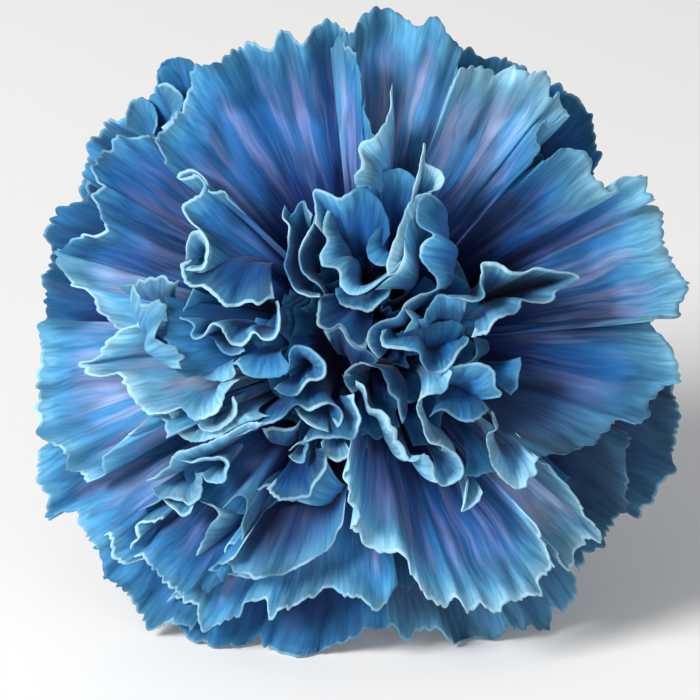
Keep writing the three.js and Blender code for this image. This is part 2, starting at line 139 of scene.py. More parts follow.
class Nodes:
    """A short way to add and link the nodes of a material or of a node group."""

    def __init__(self, tree):
        self.tree = tree

    def join(self, value, socket):
        if isinstance(value, bpy.types.NodeSocket):
            self.tree.links.new(value, socket)
        else:
            socket.default_value = value

    def put(self, kind, inputs=(), **settings):
        node = self.tree.nodes.new(kind)
        for name, value in settings.items():
            setattr(node, name, value)
        for socket, value in dict(inputs).items():
            self.join(value, node.inputs[socket])
        return node

    def maths(self, operation, *values):
        return self.put("ShaderNodeMath", enumerate(values), operation=operation).outputs[0]

    def plus(self, first, second):
        return self.maths("ADD", first, second)

    def minus(self, first, second):
        return self.maths("SUBTRACT", first, second)

    def times(self, first, *others):
        for other in others:
            first = self.maths("MULTIPLY", first, other)
        return first

    def between(self, value, low, high, out_low=0.0, out_high=1.0):
        inputs = enumerate([value, low, high, out_low, out_high])
        return self.put("ShaderNodeMapRange", inputs, interpolation_type="SMOOTHSTEP").outputs[0]

    def blend(self, share, first, second):
        node = self.put("ShaderNodeMix", data_type="RGBA")
        sockets = {socket.name: socket for socket in node.inputs if socket.enabled}
        for name, value in (("Factor", share), ("A", first), ("B", second)):
            self.join(value, sockets[name])
        return [socket for socket in node.outputs if socket.enabled][0]

    def ramp(self, share, stops):
        node = self.put("ShaderNodeValToRGB", {"Fac": share})
        node.color_ramp.interpolation = "EASE"
        while len(node.color_ramp.elements) < len(stops):
            node.color_ramp.elements.new(0.5)
        for element, (place, colour) in zip(node.color_ramp.elements, stops):
            element.position = place
            element.color = (*colour, 1)
        return node.outputs["Color"]

    def attribute(self, name):
        return self.put("ShaderNodeAttribute", attribute_name=name).outputs["Fac"]

    def noise(self, across, along, detail, fourth=0.0):
        place = self.put("ShaderNodeCombineXYZ", enumerate([across, along, fourth])).outputs[0]
        inputs = {"Vector": place, "Scale": 1.0, "Detail": detail}
        return self.put("ShaderNodeTexNoise", inputs).outputs["Fac"]


def group(name, takes, gives):
    """A node group with named numbers in, each with its default, and named numbers out."""
    tree = bpy.data.node_groups.new(name, "ShaderNodeTree")
    for socket, default in takes.items():
        made = tree.interface.new_socket(socket, in_out="INPUT", socket_type="NodeSocketFloat")
        made.default_value = default
    for socket in gives:
        tree.interface.new_socket(socket, in_out="OUTPUT", socket_type="NodeSocketFloat")
    nodes = Nodes(tree)
    return tree, nodes, nodes.put("NodeGroupInput").outputs, nodes.put("NodeGroupOutput").inputs


# How often each mark of the dye comes along the rim and towards the claw, in marks a mm
DRIFT = (0.12, 0.12)
DRIFT_MM = 3  # how far the marks wander sideways
FEATHERS = (1.7, 0.28)
FINE_LINES = (0.8, 0.05)
LONG_STREAKS = (0.5, 0.045)
SOFT_BLOTCHES = (0.11, 0.12)


def vein_group():
    """Feathery veins, fine lines, long streaks and soft blotches, from a petal's own measures in mm."""
    takes = {"Along": 0.0, "From Rim": 0.0, "Petal": 0.0}
    tree, n, takes, out = group("dyed_veins", takes, ("Veins", "Lines", "Streaks", "Blotches"))

    def marks(often, along, detail, petal=takes["Petal"]):
        return n.noise(n.times(along, often[0]), n.times(takes["From Rim"], often[1]), detail, petal)

    along = n.plus(takes["Along"], n.times(marks(DRIFT, takes["Along"], 1.0, 0.0), DRIFT_MM))
    lines = n.maths("ABSOLUTE", n.minus(marks(FINE_LINES, along, 1.0), 0.5))
    n.join(n.between(marks(FEATHERS, along, 2.5), 0.25, 0.75), out["Veins"])
    n.join(n.between(lines, 0.035, 0.0), out["Lines"])
    n.join(n.between(marks(LONG_STREAKS, along, 3.0), 0.42, 0.7), out["Streaks"])
    n.join(n.between(marks(SOFT_BLOTCHES, along, 1.0), 0.35, 0.65), out["Blotches"])
    return tree


# The very edge's white is partly its own pale colour and partly painted light glowing through the thin
# margin.
FRINGE_WHITE = (0.35, 0.61, 0.77)
FRINGE_CYAN = (0.105, 0.31, 0.48)
TEAL = (0.026, 0.17, 0.35)
BLUE = (0.016, 0.122, 0.34)
VIOLET = (0.24, 0.285, 0.55)
INDIGO = (0.006, 0.036, 0.175)
NAVY = (0.0032, 0.0115, 0.075)
# The indigo and navy towards the claw are partly the dye and partly painted shade.
DYE_AND_SHADE_DEPTHS = [(0.0, TEAL), (0.25, BLUE), (0.42, BLUE), (0.66, INDIGO), (0.9, NAVY)]
WHITE_EDGE = 0.38  # how far in the white of the very edge reaches, in mm
PETAL_ROUGH = (0.5, 0.66)
PETAL_FINISH = {
    "Subsurface Weight": 0.12,
    "Subsurface Radius": (0.4, 0.8, 1.0),
    "Subsurface Scale": 1.2 * MM,
    "Sheen Weight": 0.08,
    "Specular IOR Level": 0.16,
}


def petal_material():
    material = bpy.data.materials.new("dyed_petal")
    material.use_nodes = True
    n = Nodes(material.node_tree)
    shader = material.node_tree.nodes["Principled BSDF"].inputs
    from_rim, dye, rime, teal = (n.attribute(name) for name in ("rim_mm", "dye", "rime", "teal"))
    taken = {"Along": n.attribute("along_mm"), "From Rim": from_rim, "Petal": n.attribute("petal")}
    marks = n.put("ShaderNodeGroup", taken, node_tree=vein_group()).outputs
    veins, lines, streaks, blotches = marks["Veins"], marks["Lines"], marks["Streaks"], marks["Blotches"]
    veins_both_ways = n.minus(veins, 0.5)

    # The colour deepens inwards, partly the dye and partly painted shade towards the claw, with violet
    # streaks in a belt between the pale margin and the dark claw.
    body = n.ramp(n.plus(dye, n.times(veins_both_ways, -0.09)), DYE_AND_SHADE_DEPTHS)
    belt = n.times(n.between(from_rim, 2.5, 9), n.between(dye, 0.75, 0.4))
    body = n.blend(n.times(streaks, belt, n.attribute("violet")), body, (*VIOLET, 1))

    # The margin pales to cyan, further in along the veins.
    margin = n.plus(n.attribute("margin"), n.times(veins, -0.4))
    band = n.times(n.between(margin, 1.0, -0.1), n.between(rime, 0.0, 1.0, 0.1, 0.7))
    body = n.blend(band, body, (*FRINGE_CYAN, 1))

    # Each petal takes more or less of the dye, and its tone adds painted light and shade, deeper towards
    # the claw. Its veins, lines and blotches lighten and darken it, partly as marks of the dye and partly
    # as painted light and shade on its folds.
    body = n.put("ShaderNodeGamma", {"Color": body, "Gamma": n.attribute("dyed")}).outputs[0]
    # The veins and soft blotches lighten and darken the petal partly as marks of the dye and partly as
    # painted light and shade over its folds.
    feather = n.plus(1.0, n.times(veins_both_ways, n.between(from_rim, 9.0, 1.0, 0.22, 0.34)))
    patch = n.between(blotches, 0.0, 1.0, 0.74, 1.26)
    lined = n.between(lines, 0.0, 1.0, 1.0, 0.8)
    tint = {
        "Hue": n.between(teal, 0, 1, 0.5, 0.486),
        "Saturation": n.between(teal, 0, 1, 1, 0.88),
        "Value": n.times(feather, patch, lined, n.attribute("shade")),
        "Color": body,
    }
    body = n.put("ShaderNodeHueSaturation", tint).outputs[0]

    # The very edge stays nearly white: its own pale colour, with painted light glowing through the thin
    # margin. It goes on after the painted shade, so that rims in shade stay bright.
    white_edge_glow = n.between(n.minus(n.attribute("edge_mm"), n.times(rime, 0.3)), WHITE_EDGE, 0.0)
    body = n.blend(n.times(white_edge_glow, n.between(rime, 0.0, 1.1)), body, (*FRINGE_WHITE, 1))

    n.join(body, shader["Base Color"])
    bump = n.put("ShaderNodeBump", {"Strength": 0.2, "Distance": 0.2 * MM, "Height": veins})
    n.join(bump.outputs[0], shader["Normal"])
    n.join(n.between(veins, 0, 1, *PETAL_ROUGH), shader["Roughness"])
    for socket, value in PETAL_FINISH.items():
        shader[socket].default_value = value
    return material


def add_mesh(name, points, faces, layers, material, caps=()):
    """A smooth mesh of points in the flower's frame, with faces of four, flat caps and numbers by point."""
    mesh = bpy.data.meshes.new(name)
    faces = np.asarray(faces, dtype=np.int32)
    cap_starts = faces.size + np.cumsum([0, *map(len, caps)])[:-1]
    starts = np.concatenate([np.arange(0, faces.size, 4), cap_starts])
    corners = np.concatenate([faces.ravel(), *caps])
    mesh.vertices.add(len(points))
    mesh.vertices.foreach_set("co", laid(points).ravel())
    mesh.loops.add(len(corners))
    mesh.loops.foreach_set("vertex_index", corners.astype(np.int32))
    mesh.polygons.add(len(starts))
    mesh.polygons.foreach_set("loop_start", starts.astype(np.int32))
    mesh.polygons.foreach_set("use_smooth", np.arange(len(starts)) < len(faces))
    for layer, values in layers.items():
        numbers = mesh.attributes.new(layer, "FLOAT", "POINT").data
        numbers.foreach_set("value", np.asarray(values, dtype=np.float32))
    mesh.update(calc_edges=True)
    mesh.validate()
    mesh.materials.append(material)
    piece = bpy.data.objects.new(name, mesh)
    bpy.context.collection.objects.link(piece)
    return piece


def normals(grid):
    along = np.gradient(grid, axis=1)
    across = np.gradient(grid, axis=0)
    cross = np.cross(along, across)
    return cross / np.maximum(np.linalg.norm(cross, axis=-1, keepdims=True), 1e-9)


def two_skins(grid, half):
    """The points of a sheet's front and back, each this far from its middle."""
    out = normals(grid) * half[..., None]
    return np.concatenate([(grid + out).reshape(-1, 3), (grid - out).reshape(-1, 3)])


def grid_faces(rows, columns):
    """The quads of a sheet with a front, a back and a wall round its edge."""
    at = np.arange(rows * columns).reshape(rows, columns)
    front = np.stack([at[:-1, :-1], at[:-1, 1:], at[1:, 1:], at[1:, :-1]], axis=-1).reshape(-1, 4)
    back = front[:, ::-1] + rows * columns
    rim = np.concatenate([at[0], at[1:, -1], at[-1, -2::-1], at[-2:0:-1, 0]])
    after = np.roll(rim, -1)
    wall = np.stack([after, rim, rim + rows * columns, after + rows * columns], axis=-1)
    return np.concatenate([front, back, wall])


def steps_along(grid, axis):
    """How far each point is along its row or column, in mm."""
    lengths = np.linalg.norm(np.diff(grid, axis=axis), axis=-1)
    total = np.cumsum(lengths, axis=axis)
    return np.insert(total, 0, 0, axis=axis)


def steps_from_rim(grid):
    return steps_along(grid[::-1], 0)[::-1]


def curve_through(points, spacing):
    """A smooth line through the points, as equal steps of about the spacing."""
    points = np.asarray(points, dtype=float)
    padded = np.vstack([2 * points[0] - points[1], points, 2 * points[-1] - points[-2]])
    line = []
    for p0, p1, p2, p3 in zip(padded, padded[1:], padded[2:], padded[3:]):
        t1 = np.linalg.norm(p1 - p0) ** 0.5
        t2 = t1 + np.linalg.norm(p2 - p1) ** 0.5
        t3 = t2 + np.linalg.norm(p3 - p2) ** 0.5
        t = np.linspace(t1, t2, 24, endpoint=False)[:, None]
        a1 = p0 + (p1 - p0) * t / t1
        a2 = p1 + (p2 - p1) * (t - t1) / (t2 - t1)
        a3 = p2 + (p3 - p2) * (t - t2) / (t3 - t2)
        b1 = a1 + (a2 - a1) * t / t2
        b2 = a2 + (a3 - a2) * (t - t1) / (t3 - t1)
        line.append(b1 + (b2 - b1) * (t - t1) / (t2 - t1))
    line = np.vstack([*line, points[-1]])
    far = np.concatenate([[0], np.cumsum(np.linalg.norm(np.diff(line, axis=0), axis=1))])
    where = np.linspace(0, far[-1], max(24, round(far[-1] / spacing)) + 1)
    return np.stack([np.interp(where, far, line[:, 0]), np.interp(where, far, line[:, 1])], axis=1), where


def hills(x, depth, waves, draw, ruffled=False):
    """Soft random hills between -1 and 1, their width along the rim and length inwards given in mm.

    Ruffled hills rise and fall in turn along the rim.
    """
    wide, long = waves
    across = (x - x.min()) / wide
    inward = depth / long
    heights = draw.uniform(-1, 1, (int(inward.max()) + 2, int(across.max()) + 2))
    if ruffled:
        heights = (0.4 + 0.6 * np.abs(heights)) * np.where(np.arange(heights.shape[1]) % 2, 1, -1)
    column = across.astype(int)
    row = inward.astype(int)
    a = smooth(0, 1, across - column)
    b = smooth(0, 1, inward - row)
    near = heights[row, column] * (1 - a) + heights[row, column + 1] * a
    far = heights[row + 1, column] * (1 - a) + heights[row + 1, column + 1] * a
    return near * (1 - b) + far * b


# Widths and lengths of a blade's waves, in mm
SWAY = (6, 7)
BROAD_FOLDS = (6.5, 14)
SMALL_FOLDS = (2.8, 5)
CREASES = (1.1, 5)
CRIMPS = (1.7, 2.5)
FRINGE_WAVES = (1.9, 1)
EDGE_SHORT_WAVES = (3, 1)
EDGE_LONG_WAVES = (8, 1)
PLEAT_LENGTH = 13
SWAY_DEPTH = 1.6
CREASE_DEPTH = 0.05
TOOTH_WIDTHS = (0.45, 1.9)  # the narrowest and the widest tooth of the fringe


def fringe(x, draw):
    """How far the small blunt teeth of the rim stand out, as a share of the tallest."""
    edges = [x[0] - 1]
    while edges[-1] < x[-1] + 1:
        edges.append(edges[-1] + draw.uniform(*TOOTH_WIDTHS))
    edges = np.array(edges)
    tall = draw.uniform(0.1, 1, len(edges))
    tooth = np.clip(np.searchsorted(edges, x) - 1, 0, len(edges) - 2)
    share = (x - edges[tooth]) / (edges[tooth + 1] - edges[tooth])
    return tall[tooth] * (1 - np.abs(2 * share - 1) ** 1.8) + 0.9 * hills(x, 0 * x, FRINGE_WAVES, draw)


# Each petal's blade runs from its root in the claw bundle over two knees to its rim, as one soft curve.
# A spreading blade has its knees part of the way out: near and far say where, low and hump how high.
# A standing blade climbs steeply and comes to its rim from the side of its belly.
# root and claw are the place and width of the root. fold, pleat and crimp are the depths of the broad
# waves, the long waves and the small ones at the rim, and tooth is the height of the fringe. The dye depth
# is how far in the colour turns navy, partly as the dye and partly as painted shade towards the claw,
# margin and rime how far in and how strongly the edge pales, with painted light glowing through the very
# edge, and violet how strong the violet streaks are.
CROWN = 20  # height of the bloom's middle over the calyx mouth
DOME_RADIUS = 44  # where the dome of rims would come down to the mouth
ROOT_HEIGHT = 1.3
WALL_DEPTH = 10
LAYERS = {
    "heart": dict(root=1.5, claw=1.6, pleat=0, crimp=0.08, fold=0.3, tooth=0.14,
                  dye=15, margin=1.6, rime=0.5, violet=0.15),
    "inner": dict(root=2.6, claw=2, pleat=0, crimp=0.1, fold=0.4, tooth=0.16,
                  dye=17, margin=2, rime=0.75, violet=0.2),
    "deep": dict(root=3, claw=3, pleat=0.3, crimp=0.1, fold=0.3, tooth=0.1,
                 near=0.3, low=7, far=0.7, hump=2,
                 dye=7, margin=0.5, rime=0, violet=0.3),
    "middle": dict(root=3.6, claw=2.6, pleat=0.4, crimp=0.15, fold=0.5, tooth=0.22,
                   near=0.25, low=8, far=0.6, hump=2,
                   dye=22, margin=2.4, rime=0.75, violet=0.35),
    "outer": dict(root=4.3, claw=3.4, pleat=0.65, crimp=0.3, fold=0.8, tooth=0.65,
                  near=0.2, low=7, far=0.58, hump=2.5,
                  dye=31, margin=2.4, rime=0.5, violet=0.7),
    "back": dict(root=4.7, claw=3.4, pleat=0.7, crimp=0.3, fold=0.9, tooth=0.8,
                 near=0.2, low=5, far=0.58, hump=1.5,
                 dye=30, margin=1.5, rime=0.5, violet=0.2),
}
RIM_STEP = 0.22
CLAW_THICK = 0.5
RIM_THICK = 0.22
# A tone is partly the petal's share of the dye and partly painted light and shade.
TONE_STEP = 0.4  # how much a tone of 1 weakens the dye
# The tone's fall towards the claw is painted shade, and comes in between these distances from the rim.
DEEPENS_OVER = (1, 15)  # the dye deepens between these distances from the rim
MARKS_APART = 3.7  # keeps each petal's marks unlike the next one's
# The back of a spreading blade is left without most of the painted shade towards the claw.
BACK_DYE_AND_SHADE = 0.5  # the dye gets no deeper than this on the back of a spreading blade
PETAL_REST = 0.4  # height of the middle of a blade that lies on the table
FIRST_SEED = 100  # each petal's waves are drawn from this and its number
UP = np.array([0, math.cos(LEAN), math.sin(LEAN)])  # the upright, in the flower's frame
petal_numbers = itertools.count()
petal_stuff = petal_material()


def calmed(line, reach):
    """The rim without its waves that are shorter than the reach, in mm."""
    count = min(len(line) - 2, max(1, round(reach / RIM_STEP)))
    kernel = np.hanning(2 * count + 3)[1:-1]
    padded = np.concatenate([2 * line[0] - line[count:0:-1], line, 2 * line[-1] - line[-2:-count - 2:-1]])
    columns = [np.convolve(padded[:, k], kernel / kernel.sum(), "valid") for k in range(line.shape[1])]
    return np.stack(columns, axis=1)


def along_rim(values, s):
    """One number, or a few at equal steps along the rim, as a column for all its points."""
    return np.interp(s, np.linspace(0, 1, np.size(values)), np.atleast_1d(values))


def blade_foot(form, middle, span, s):
    """The narrow root of a blade in the claw bundle, on the side where its rim is."""
    outward = middle / np.linalg.norm(middle)
    sideways = np.array([-outward[1], outward[0]])
    turn = np.sign(span @ sideways) or 1
    foot = np.zeros((len(s), 3))
    foot[:, :2] = form["root"] * outward + turn * form["claw"] * (s[:, None] - 0.5) * sideways
    foot[:, 2] = ROOT_HEIGHT
    return foot


def standing_knees(soft, softer, foot, belly, roll, crest):
    """Where a standing blade bends: beside its rim, over its belly, and under that near the root."""
    back = np.array(belly) - soft[:, :2]
    away = np.linalg.norm(back, axis=1, keepdims=True)
    far_knee = soft.copy()
    far_knee[:, :2] += back / away * np.minimum(1.5 * roll[:, None], 0.8 * away)
    far_knee[:, 2] += crest
    near_knee = foot + 0.85 * (calmed(far_knee, 7) - foot)
    near_knee[:, 2] = np.maximum(ROOT_HEIGHT + 1, softer[:, 2] - WALL_DEPTH)
    return near_knee, far_knee


def spreading_knees(soft, softer, foot, form):
    """Where a spreading blade bends: low near the root, and in a hump on its way out."""
    near_knee = foot + (softer - foot) * form["near"]
    near_knee[:, 2] = form["low"]
    far_knee = foot + (soft - foot) * form["far"]
    far_knee[:, 2] = form["low"] + (soft[:, 2] - form["low"]) * form["far"] + form["hump"]
    return near_knee, far_knee


def ruffled_blade(grid, form, x, v, phase, draw):
    """The blade with its waves, and pressed up by the table where it would lie lower."""
    depth = steps_from_rim(grid)
    swayed = x + SWAY_DEPTH * hills(x + 0 * depth, depth, SWAY, draw)
    outer_half = smooth(0.45, 1, v)[:, None]
    grid[..., 2] += form["pleat"] * outer_half * np.sin(2 * math.pi * swayed / PLEAT_LENGTH + phase)
    grid[..., 2] += form["fold"] * hills(swayed, depth, BROAD_FOLDS, draw, True) * outer_half
    grid[..., 2] += 0.4 * form["fold"] * hills(swayed, depth, SMALL_FOLDS, draw, True) * outer_half**2
    creases = CREASE_DEPTH * hills(swayed, depth, CREASES, draw) * outer_half
    crimps = form["crimp"] * hills(swayed, depth, CRIMPS, draw, True) * smooth(0.75, 1, v)[:, None] ** 1.5
    grid = grid + normals(grid) * (creases + crimps)[..., None]
    sunk = np.maximum(0, PETAL_REST - (grid @ UP + MOUTH[2]))
    return grid + sunk[..., None] * UP


def petal(name, layer, lift, tone, rim, belly=None, roll=2, crest=-2, rime=None, rows=18, deepen=0.1,
          violet=None, teal=0):
    """One petal as a thin closed blade, with the measures that its colours follow, in mm.

    The rim is x and y in turn, from one side edge to the other, as the open face shows it, and lift is how
    far it stands over the dome. The tone is how pale the petal is, partly from its share of the dye and
    partly as painted light and shade, and it falls by deepen towards the claw as painted shade; a deepen
    below nothing paints light there instead.
    A petal with a belly stands: its face shows on that side of the rim, over about the width of the roll,
    and rises from the rim by the crest. rime and violet change what its layer says, and teal turns the
    blue towards green. lift, tone, roll, rime, violet and teal may each change along the rim.
    """
    index = next(petal_numbers)
    draw = np.random.default_rng(FIRST_SEED + index)
    form = LAYERS[layer]
    rim, x = curve_through(np.reshape(rim, (-1, 2)), RIM_STEP)
    s = x / x[-1]
    dome = CROWN * (1 - (rim**2).sum(axis=1) / DOME_RADIUS**2)
    tip = np.column_stack([rim, dome + along_rim(lift, s)])
    soft = calmed(tip, 2 if belly else 5)
    softer = calmed(tip, 6 if belly else 12)
    foot = blade_foot(form, softer.mean(axis=0)[:2], rim[-1] - rim[0], s)
    if belly:
        near_knee, far_knee = standing_knees(soft, softer, foot, belly, along_rim(roll, s), crest)
    else:
        near_knee, far_knee = spreading_knees(soft, softer, foot, form)

    # v runs from the foot to the rim, and t goes past it where a tooth of the fringe stands out.
    v = 1 - (1 - np.linspace(0, 1, rows)) ** 1.5
    reach = np.linalg.norm(tip - far_knee, axis=1).mean() * 3
    t = v[:, None] * (1 + form["tooth"] * fringe(x, draw) / reach * v[:, None] ** 10)
    t = t[..., None]
    start = (1 - t) ** 3 * foot + 3 * (1 - t) ** 2 * t * near_knee
    grid = start + 3 * (1 - t) * t**2 * far_knee + t**3 * tip
    grid = ruffled_blade(grid, form, x, v, index, draw)

    from_left = steps_along(grid, 1)
    from_side = np.minimum(from_left, from_left[:, -1:] - from_left)
    thick = CLAW_THICK - (CLAW_THICK - RIM_THICK) * smooth(0.2, 1, v)[:, None]
    points = two_skins(grid, 0.5 * thick * (0.3 + 0.7 * smooth(0, 2.5, from_side)))

    from_rim = steps_from_rim(grid)
    patchy = 0.6 + 0.5 * hills(x, 0 * x, EDGE_SHORT_WAVES, draw)
    patchy += 0.35 * hills(x, 0 * x, EDGE_LONG_WAVES, draw)
    rime = along_rim(form["rime"] if rime is None else rime, s)
    violet = along_rim(form["violet"] if violet is None else violet, s)
    dyed = 1 - TONE_STEP * (along_rim(tone, s) - deepen * smooth(*DEEPENS_OVER, from_rim))
    measures = {
        "edge_mm": np.minimum(from_rim, from_side + 20 * np.maximum(0, 0.9 - v)[:, None]),
        "rim_mm": from_rim,
        "along_mm": x,
        "dye": from_rim / form["dye"],
        "margin": from_rim / form["margin"],
        "rime": rime * np.clip(1.25 * patchy, 0, 1.1),
        "dyed": np.clip(np.minimum(dyed, 1 + 0.7 * (dyed - 1)), 0.35, 2),
        "shade": 0.6 ** np.maximum(0, dyed - 1),
        "violet": violet,
        "teal": along_rim(teal, s),
        "petal": index * MARKS_APART,
    }
    layers = {key: np.tile((value + 0 * from_rim).ravel(), 2) for key, value in measures.items()}
    # The back of a spreading blade keeps its plain dye: its navy stops short, and it gets none of the
    # painted shade of its tone.
    if not belly:
        faces_out = normals(grid)[..., 2].mean() > 0
        underside = np.repeat([not faces_out, faces_out], from_rim.size)
        layers["dye"] = np.where(underside, np.minimum(layers["dye"], BACK_DYE_AND_SHADE), layers["dye"])
        layers["dyed"] = np.where(underside, np.minimum(layers["dyed"], 1), layers["dyed"])
        layers["shade"] = np.where(underside, 1, layers["shade"])
    piece = add_mesh(name, points, grid_faces(*grid.shape[:2]), layers, petal_stuff)
    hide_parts("bloom")
    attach(piece, "root")


# North petals
# The broad soft blades at the top of the bloom, grown from the claws up behind all the others, with three
# dark ones, darkened with painted shade, that show only as edges behind them and three small ones curled
# up in front.
petal("north_fan", "outer", 0.5, 0.6, [
    -4.5, 36, -2.3, 37.3, -1.3, 38.6, -0.4, 39.8, 0.8, 40.4, 3.5, 40.5, 6.3, 39.2, 8.8, 39.5,
    10.3, 37.2, 11.4, 36.6, 11.8, 35.4, 11.4, 34, 11.8, 33.3], rime=0.15, deepen=0.0)
petal("north_east_fan", "outer", (1.5, 1.5, 1.5, 1.5, 1, -1), (1.3, 1.3, 1.3, 1.2, 0.2, -0.9), [
    10.5, 31, 12.5, 33.6, 15.9, 33.5, 16.3, 32.9, 17.8, 33.3, 19.3, 32.4, 22.3, 32.7, 22.8, 30.4,
    23.2, 29.7, 24, 30.5, 24.2, 29, 25.1, 27.8, 24.3, 26.8, 23, 26.2, 22, 26.8, 21.1, 24.8, 21.3, 23.5,
    19.6, 21, 18.3, 19.8], rime=0.5, deepen=0.9)
petal("behind_north_east", "back", -3, -0.2, [
    7, 35, 11.5, 34.5, 12.5, 35.9, 16, 35, 19.8, 33.5, 23, 31], rime=0.4, deepen=1.8)
petal("behind_east_top", "back", -4, -1.1, [
    20, 32, 23.5, 31.2, 24.8, 30.5, 26.3, 30, 28, 28.2, 29, 26.2, 29.2, 24.3, 29, 22.8, 28.4, 20.5,
    26, 17.5], rime=0.4, deepen=1.8)
petal("north_west_fan", "outer", (-1.5, 1, 1.5, 1.5, 1.5, 1.5), 0.0, [
    -20.5, 19, -22.5, 20.9, -24.3, 20.8, -25.3, 23, -25.7, 25.3, -24.6, 26.7, -23.5, 27.8, -22, 30,
    -21.2, 32.8, -20, 33.8, -18.3, 34.4, -17, 35.6, -14.5, 36.2, -12, 36.2, -10, 37.6, -8, 36.2,
    -6.3, 37.9, -5, 38.9, -3, 38.3, -2.7, 37, -1.2, 34.4, -0.7, 31, 0.1, 27.3, 1, 24.7],
    rime=(0, 0.6, 0.5, 0.5, 0.5, 0.4), deepen=0.5, rows=22)
petal("behind_north_west", "back", -3, -0.2, [
    -36, 17, -35, 21, -34.3, 24.4, -33, 26.6, -30.5, 27, -28.9, 28.7, -27.3, 29.2, -26.2, 31.6,
    -25, 33.9, -22.5, 34.3, -21.4, 33.6], rime=0.4, deepen=1.8)
petal("north_west_curl", "middle", -1, 0.2, [
    -26.6, 31.4, -25.8, 31.8, -24.8, 31.7, -23.6, 30.9, -23, 29.8, -23.2, 28.4, -24, 27, -25.4, 25.9],
    belly=(-27, 28), roll=3, crest=-1, rime=1)
petal("north_west_curl_behind", "middle", -2, 0.3, [
    -30.2, 26, -30, 28.2, -29, 29.6, -27.6, 29.6, -26.4, 28.6, -26, 27, -26.6, 25.4], belly=(-28, 26),
    crest=-1, rime=0.4)
petal("north_west_scrap", "middle", -2, -0.4, [
    -26, 31, -26, 33.4, -24.8, 34.8, -23, 35, -21.6, 34.2, -21, 32.6, -21.4, 30.6], belly=(-23.5, 30),
    roll=2.5, crest=-1, rime=0.4)

# East petals
# A big fan folded along its middle, another below it, and two petals behind, dark with painted shade.
# They grow from the right side of the claws.
# Its left end and its claw carry painted shade, in the valley under the north-east fan.
petal("east_upper_fan", "outer", (-2.5, 0.5, 0.5, 0.5, 0.5, 0.5), (-1.1, -0.2, 1.0, 1.3, 1.3, 1.1), [
    17, 19.8, 20, 20.6, 23, 22.5, 24.3, 23, 25.8, 23, 28, 21.8, 28.7, 19.4, 30.2, 17.8, 31.7, 18.2,
    31.4, 19.5, 34, 19.7, 35.2, 19.2, 35.8, 17], rime=0.25, deepen=2.8, violet=0.5)
petal("east_fan", "outer", -0.5, 1.1, [
    33.5, 17.5, 36.3, 15.8, 36.8, 13.4, 37.7, 10.4, 38.4, 8.4, 39.8, 6.8, 39.9, 5.8, 38.5, 3.8,
    38.6, 2.6, 36.2, 2.6, 35.2, 1.8], rime=0.4, deepen=1.3)
petal("east_lower_fan", "outer", (-1.5, 1, 1.5, 1.5, 1.5), (0.8, 1.1, 0.5, -0.4, -1.0, -1.2), [
    34.5, 2.5, 35.3, 1.8, 36.2, 0.9, 37.9, -0.4, 38.5, -4, 38.7, -5.5, 37, -6.4, 35, -7.8, 35.2, -9.5,
    34.8, -10.5, 33.2, -10.7, 31.5, -10.4, 29.5, -12.2, 26.5, -13.6, 24.5, -14.2, 21, -14.6],
    rime=(0, 0.3, 0.3, 0.3, 0.1, 0), deepen=1.6, violet=(0.7, 0.7, 0.5, 0.2, 0, 0),
    teal=(0, 0, 0.2, 0.6, 1, 1))
petal("behind_east", "back", -4, -1.6, [
    38, -4, 38.3, -6.5, 39.1, -10.5, 38.5, -14, 38.8, -16.6, 37.2, -18.5, 36, -20, 34.7, -21.8,
    33.8, -22.4, 32.7, -21.3, 31.8, -19.2], deepen=1.8, teal=1)
petal("behind_south_east", "back", -2, -1.4, [
    33, -12, 32.2, -18, 32, -22, 30.6, -24, 29.6, -25.6, 26, -28.5], deepen=1.2, teal=1)
# Its high tone is painted light on a blade that faces away from the lamp.
petal("south_east_fan", "outer", 0, 1.1, [
    20.6, -23, 22.5, -25.4, 24.5, -28.2, 25, -28.6, 26.5, -26.8, 27.2, -26.3, 27.3, -25, 29.3, -25.1,
    29.3, -24.1, 28, -23.3, 26.3, -20.5, 23.8, -17.2, 21.3, -15], rime=1.1)

# South petals
# The broad violet blade below the middle, and the lobes that the flower lies on, dark with painted shade.
# They bend down over the calyx teeth, and the table holds the lowest ones up.
petal("south_fan", "outer", 2, 0.9, [
    -2.2, -13.8, -2.1, -15.3, -2.6, -17, -2.3, -18.3, -1.8, -19.2, -2, -20.5, -0.8, -21.8, -2, -23.8,
    -0.6, -24.2, 0, -25.9, 1.5, -26.6, 3.5, -26.7, 4.8, -27.4, 6.2, -29.8, 8, -31.8, 10.2, -32.9,
    11.2, -32.4, 12.6, -33.5, 13.8, -33, 15.6, -33.6, 17.5, -33.2, 19.6, -32.5, 20.3, -31.7,
    21.4, -31.5, 21.5, -30.3, 23.3, -29.4, 22.9, -27.8, 21.3, -24.6, 20.6, -23], rime=1.2, deepen=1.9,
    rows=22)
petal("behind_south", "back", -5.4, -0.5, [
    2, -35.7, 3.8, -36.4, 4.2, -37.3, 6, -37.2, 9.5, -36.8, 11, -38.4, 13.2, -40.3, 14.5, -38,
    16.5, -37.7, 18.2, -36.5, 18.8, -37, 20.4, -35.6, 22.5, -36.3, 23.4, -33.8, 24.8, -34.3, 26, -32.2,
    26, -30], rime=0.4, deepen=1.8, teal=1)
petal("south_west_long", "outer", (-3, -1.5, -1.5, -1.5, -1.5, -1.5), 0.2, [
    -24.3, -32.5, -23.2, -32.3, -21.6, -33.7, -20.4, -36.2, -18, -35.5, -16.1, -34.6, -14.8, -33,
    -12.3, -33, -12, -34.8, -10, -33.5, -7.4, -32.7, -6.2, -32.2, -4.7, -30.9, -2.8, -31.8, -0.5, -32.2,
    1.2, -33.6, 4, -31], rime=0.7)
